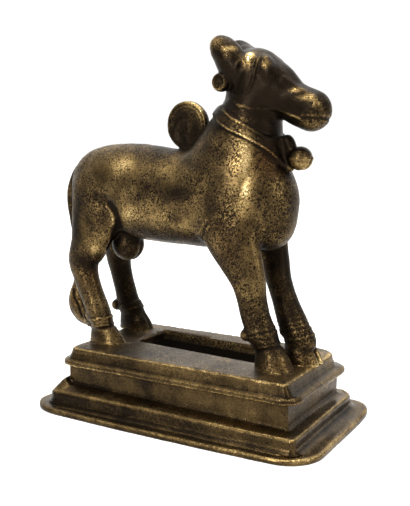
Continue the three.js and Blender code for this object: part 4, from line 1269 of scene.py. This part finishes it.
# The muzzle's end is painted a little lighter, for the light that falls on it from that side
lit_end = ease(place_mm[:, 0], 52, 6)
on_top = level > NEAR_TOP
on_dado = (level > DADO_ZONE[0]) & (level < DADO_ZONE[1])
on_base_face = (level > BASE_ZONE[0]) & (level < BASE_ZONE[1])
layers = dict(
    proud=1.1 * rubbed, sunk=0.8 * grimy, grime_and_shade=0.25 * grimy, warm=still,
    gold=still - 0.1 + 0.08 * lit_end + 0.04 * on_top - 0.04 * on_dado - 0.12 * on_base_face,
    smooth=np.clip(0.85 - 0.6 * rubbed, 0.2, 1) - 0.6 * on_top,
)
plinth = new_piece("plinth_body", place_mm * MM, faces, layers)

# %% [markdown]
# ## Hollowing the plinth
# The plinth is a shell open underneath, with a long opening in its top between the hooves. Both are cut
# as a caster's core would leave them, and then the bull is joined to the top, so that the figure is
# again one closed piece of metal with no faces left inside.

# %% The hollow
inner_levels = [
    course(-WALL, BASE_END - WALL, BASE_SIDE - WALL, 1.6),
    course(BASE_TOP - WALL, BASE_END - WALL, BASE_SIDE - WALL, 1.6),
    course(BASE_TOP - WALL + ROUNDING, -WALL, -WALL, ROUNDING), course(TOP - WALL, -WALL, -WALL, ROUNDING),
]
inner_places, inner_faces = loft([ring for ring, out in inner_levels])
dull = np.zeros(len(inner_places))
core_layers = dict(proud=dull, sunk=dull + 0.7, grime_and_shade=dull + 0.9, gold=dull - 0.5, warm=dull, smooth=dull)
core = new_piece("core", (inner_places + FORWARD_MM) * MM, inner_faces, core_layers)

# %% The opening
OPENING_HALF = np.array([30.5, 9.75])
OPENING_CENTRE = np.array([1.8, 4.9])
OPENING_RADIUS = 1.6
OPENING_STEPS = 6


def opening_ring(height, grow):
    ring = []
    for corner, (sign_x, sign_y) in enumerate([(1, 1), (-1, 1), (-1, -1), (1, -1)]):
        centre = OPENING_CENTRE + (OPENING_HALF - OPENING_RADIUS) * np.array([sign_x, sign_y])
        for step in range(OPENING_STEPS + 1):
            angle = math.radians(90 * corner + 90 * step / OPENING_STEPS)
            reach = OPENING_RADIUS + grow
            ring.append([centre[0] + reach * math.cos(angle), centre[1] + reach * math.sin(angle), height])
    return np.array(ring)


mouth_levels = [
    opening_ring(-5, 0), opening_ring(-0.7, 0), opening_ring(-0.35, 0.08), opening_ring(-0.12, 0.28),
    opening_ring(0, 0.6), opening_ring(1.5, 0.6),
]
mouth_places, mouth_faces = loft(mouth_levels)
dull = np.zeros(len(mouth_places))
mouth_layers = dict(proud=dull + 0.3, sunk=dull + 0.1, grime_and_shade=dull + 0.3, gold=dull, warm=dull, smooth=dull)
mouth_row = (mouth_places * MM) @ TURN.T + BULL_SHIFT
mouth = new_piece("mouth", mouth_row, mouth_faces, mouth_layers)

# %% Cut and join
def carve(body, tool, operation):
    cut = body.modifiers.new(operation.lower(), "BOOLEAN")
    cut.object = tool
    cut.operation = operation
    cut.solver = "MANIFOLD"
    shaped = bpy.data.meshes.new_from_object(body.evaluated_get(bpy.context.evaluated_depsgraph_get()))
    body.modifiers.clear()
    body.data = shaped
    bpy.data.objects.remove(tool)
    print(operation.lower(), len(shaped.vertices), "points", [a.name for a in shaped.attributes])


carve(plinth, core, "DIFFERENCE")
carve(plinth, mouth, "DIFFERENCE")
carve(nandi, plinth, "UNION")
nandi.data.name = "nandi"
nandi.data.polygons.foreach_set("use_smooth", [True] * len(nandi.data.polygons))
nandi.data.calc_loop_triangles()
print("whole figure:", len(nandi.data.loop_triangles), "triangles")

# %% [markdown]
# ## Brass, patina and wear
# Old brass is two finishes at once: a brown oxide skin that is dark and a little waxy, and bare metal
# where it is rubbed. One mask, from the wear layers and noises of several sizes, moves colour,
# metallic and roughness together between the two. The layers also carry painted highlights, painted
# bounce light and painted shade. Pits and short scratches, left by the casting and by years of
# cleaning, stay dark and dent the surface.

# %% Node helpers
brass = bpy.data.materials.new("patinated_brass")
brass.use_nodes = True
tree = brass.node_tree
tree.nodes.clear()


def node(kind, inputs=None, **settings):
    """A new node in the tree at hand, with its inputs set or linked."""
    made = tree.nodes.new(kind)
    for name, value in settings.items():
        setattr(made, name, value)
    for name, value in (inputs or {}).items():
        socket = made.inputs[name]
        if isinstance(value, bpy.types.NodeSocket):
            tree.links.new(value, socket)
        else:
            socket.default_value = value
    return made


def maths(operation, a, b=0.0):
    return node("ShaderNodeMath", {0: a, 1: b}, operation=operation).outputs[0]


def plus(base, amount, weight):
    return maths("ADD", base, maths("MULTIPLY", amount, weight))


def centred(amount):
    return maths("SUBTRACT", amount, 0.5)


def noise(scale, detail, roughness=0.55, distortion=0.0, stretch=(1, 1, 1)):
    placed = node("ShaderNodeMapping", {"Vector": place, "Scale": stretch}).outputs[0]
    shape = {"Scale": scale, "Detail": detail, "Roughness": roughness, "Distortion": distortion}
    return node("ShaderNodeTexNoise", {"Vector": placed, **shape}).outputs["Fac"]


def layer(name):
    return node("ShaderNodeAttribute", attribute_name=name).outputs["Fac"]


def ramp(amount, stops):
    made = node("ShaderNodeValToRGB", {"Fac": amount})
    elements = made.color_ramp.elements
    while len(elements) < len(stops):
        elements.new(0.5)
    for element, (position, colour) in zip(elements, stops):
        element.position = position
        element.color = (*colour, 1)
    return made.outputs["Color"]


def remap(amount, low, high, to_low=0.0, to_high=1.0, **settings):
    inputs = {"Value": amount, "From Min": low, "From Max": high, "To Min": to_low, "To Max": to_high}
    return node("ShaderNodeMapRange", inputs, **settings).outputs["Result"]


place = node("ShaderNodeTexCoord").outputs["Object"]

# %% Pits and scratches
SMOOTHEST = 0.12
CROWDING = 0.3
pits_fine = noise(1500, 2, 0.55, 0.5)
pits_coarse = noise(420, 4, 0.6, 1.2)
crowding = noise(75, 3, 0.5)
worms = noise(500, 2, 0.5, 2.4, (1, 1, 0.7))
crowded = centred(crowding)
fine_pits = remap(plus(pits_fine, crowded, CROWDING), 0.52, 0.60)
coarse_pits = remap(plus(pits_coarse, crowded, CROWDING), 0.62, 0.67)
worm_line = maths("ABSOLUTE", centred(worms))
worm_marks = maths("MULTIPLY", remap(worm_line, 0.032, 0.014), remap(crowding, 0.40, 0.54))
pitting = maths("MAXIMUM", maths("MAXIMUM", fine_pits, coarse_pits), worm_marks)
roughcast = remap(layer("smooth"), 0.0, 1.0, 1.0, SMOOTHEST)
pitting = maths("MULTIPLY", pitting, roughcast)


def by_roughcast(smooth_value, rough_value):
    """A value that goes from its figure on burnished metal to its figure on the casting's skin."""
    return remap(roughcast, SMOOTHEST, 1.0, smooth_value, rough_value)


# %% Mask from patina to bare metal, also carrying painted highlights and painted shade
GILDING = 0.37
patches = noise(38, 5, 0.6, 0.4)
mottle = noise(150, 5, 0.62, 0.3)
grain = noise(2300, 2, 0.6)
mask = maths("MULTIPLY", centred(patches), 0.95)
uneven = plus(centred(mottle), centred(grain), 0.7)
mask = plus(mask, uneven, by_roughcast(0.4, 1.0))
mask = plus(mask, layer("proud"), by_roughcast(0.2, 0.36))
mask = plus(mask, layer("sunk"), -0.3)
# Closed-in places darken: patina, and painted shade
mask = plus(mask, layer("grime_and_shade"), -0.25)
# Rubbed gold and dark patina, with painted highlights, painted bounce light and painted shade; on the
# plinth, painted light on the muzzle's end
mask = plus(mask, layer("gold"), 0.75)
mask = maths("ADD", mask, GILDING)
mask = plus(mask, pitting, -0.5)
mask = maths("MINIMUM", maths("MAXIMUM", mask, 0.0), 1.0)

# %% Colour, metal and roughness
REDDISH = (1.0, 0.66, 0.46, 1)
DENT_DEPTH = 0.18 * MM
base_colour = ramp(mask, [
    (0.0, (0.013, 0.008, 0.004)), (0.25, (0.078, 0.050, 0.020)), (0.5, (0.20, 0.132, 0.052)),
    (0.75, (0.44, 0.30, 0.115)), (1.0, (0.88, 0.67, 0.32)),
])
warmth = maths("MULTIPLY", layer("warm"), 0.55)
tint = {0: warmth, 6: base_colour, 7: REDDISH}
tinted = node("ShaderNodeMix", tint, data_type="RGBA", blend_type="MULTIPLY")
metal = remap(mask, 0.0, 0.6, 0.92, 1.0)
rough = plus(remap(mask, 0.0, 1.0, 0.40, 0.27), centred(grain), 0.16)
rough = plus(rough, pitting, 0.12)
rough = maths("ADD", rough, by_roughcast(-0.15, 0.0))

relief = plus(maths("MULTIPLY", mottle, 0.35), pitting, -0.6)
relief = plus(relief, grain, 0.06)
dents = node("ShaderNodeBump", {"Strength": 0.7, "Distance": DENT_DEPTH, "Height": relief})

shader = node("ShaderNodeBsdfPrincipled", {
    "Base Color": tinted.outputs[2], "Metallic": metal, "Roughness": rough, "Normal": dents.outputs[0],
    "Specular IOR Level": 0.5,
})
node("ShaderNodeOutputMaterial", {"Surface": shader.outputs[0]})
nandi.data.materials.clear()
nandi.data.materials.append(brass)
print(len(tree.nodes), "nodes in the brass")

# %% Hand the piece to the frame
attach(nandi, "root")
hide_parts("nandi_casting")

# %% [markdown]
# ## Floor, light and camera
# A plain pale floor and a pale surround, with three soft lamps: one broad and overhead, one tall at the
# left of the camera that draws the long bright strip down the neck, and a weak one at the right. The
# camera itself sees an even white, and only the metal sees the surround's lighter and darker parts.

# %% Floor
FLOOR_HALF = 3.0
FLOOR_LEVEL = -0.0001
corners = [(FLOOR_HALF * x, FLOOR_HALF * y, 0) for x, y in ((-1, -1), (1, -1), (1, 1), (-1, 1))]
floor = new_piece("floor", corners, [(0, 1, 2, 3)], {})
floor.location.z = FLOOR_LEVEL
paper = bpy.data.materials.new("pale_paper")
paper.use_nodes = True
tree = paper.node_tree
sheet = tree.nodes["Principled BSDF"].inputs
sheet["Base Color"].default_value = (0.68, 0.68, 0.68, 1)
sheet["Roughness"].default_value = 0.9
sheet["Specular IOR Level"].default_value = 0.1
sheet["Emission Color"].default_value = (1, 1, 1, 1)
seen_directly = node("ShaderNodeLightPath").outputs["Is Camera Ray"]
glow = node("ShaderNodeMath", {0: seen_directly, 1: 0.5, 2: 0.22}, operation="MULTIPLY_ADD")
tree.links.new(glow.outputs[0], sheet["Emission Strength"])
floor.data.materials.append(paper)

# %% Lamps
LIT_PLACE = Vector((0.0, 0.0, 0.07))


def soft_lamp(name, place, size, power):
    data = bpy.data.lights.new(name, "AREA")
    data.shape = "RECTANGLE"
    data.size, data.size_y = size
    data.energy = power
    lamp = bpy.data.objects.new(name, data)
    lamp.location = place
    lamp.rotation_euler = (LIT_PLACE - Vector(place)).to_track_quat("-Z", "Y").to_euler()
    lamp.visible_camera = False
    bpy.context.scene.collection.objects.link(lamp)


soft_lamp("overhead", (0.05, 0.05, 0.9), (0.7, 0.7), 6)
soft_lamp("left_strip", (-0.12, -0.85, 0.45), (0.18, 0.7), 5)
soft_lamp("right_fill", (0.9, -0.2, 0.4), (0.4, 0.6), 2)

# %% Surround
world = bpy.data.worlds.new("surround")
bpy.context.scene.world = world
world.use_nodes = True
tree = world.node_tree
tree.nodes.clear()
BEHIND = (-0.49, 0.87, 0.05)
FELT_WHITE = (1, 0.965, 0.91, 1)
PAPER_WHITE = (1, 1, 1, 1)
direction = node("ShaderNodeTexCoord").outputs["Generated"]


def surround_tone(along, stops):
    """How bright the surround is, by how far a direction leans along the given one."""
    lean = node("ShaderNodeVectorMath", {0: direction, 1: along}, operation="DOT_PRODUCT")
    return remap(lean.outputs["Value"], *stops, interpolation_type="SMOOTHSTEP")


sky = surround_tone((0, 0, 1), (0.25, 0.8, 0.10, 0.9))
backdrop = surround_tone(BEHIND, (0.3, 0.85, 0.10, 1.3))
felt = node("ShaderNodeBackground", {"Color": FELT_WHITE, "Strength": maths("MAXIMUM", sky, backdrop)})
seen = node("ShaderNodeBackground", {"Color": PAPER_WHITE, "Strength": 1.04})
camera_ray = node("ShaderNodeLightPath").outputs["Is Camera Ray"]
pick = node("ShaderNodeMixShader", {0: camera_ray, 1: felt.outputs[0], 2: seen.outputs[0]})
node("ShaderNodeOutputWorld", {"Surface": pick.outputs[0]})
bpy.context.scene.view_settings.view_transform = "Standard"

# %% Camera at the photograph's angle
CAMERA_PLACE = Vector((0.1616, -0.2738, 0.1112))
AZIMUTH = math.radians(29.56)
PITCH = math.radians(8.26)
ROLL = math.radians(0.5)
FOCAL_PIXELS = 788.14
PHOTO_HEIGHT = 506
SENSOR = 36.0
level_right = Vector((math.cos(AZIMUTH), math.sin(AZIMUTH), 0))
level_forward = Vector((-math.sin(AZIMUTH), math.cos(AZIMUTH), 0))
forward = math.cos(PITCH) * level_forward - math.sin(PITCH) * Vector((0, 0, 1))
level_up = level_right.cross(forward)
right = math.cos(ROLL) * level_right + math.sin(ROLL) * level_up
up = -math.sin(ROLL) * level_right + math.cos(ROLL) * level_up
camera_data = bpy.data.cameras.new("camera")
camera_data.lens = FOCAL_PIXELS * SENSOR / PHOTO_HEIGHT
camera_data.sensor_width = SENSOR
camera = bpy.data.objects.new("camera", camera_data)
turned = Matrix((right, up, -forward)).transposed().to_4x4()
camera.matrix_world = Matrix.Translation(CAMERA_PLACE) @ turned
bpy.context.scene.collection.objects.link(camera)
bpy.context.scene.camera = camera
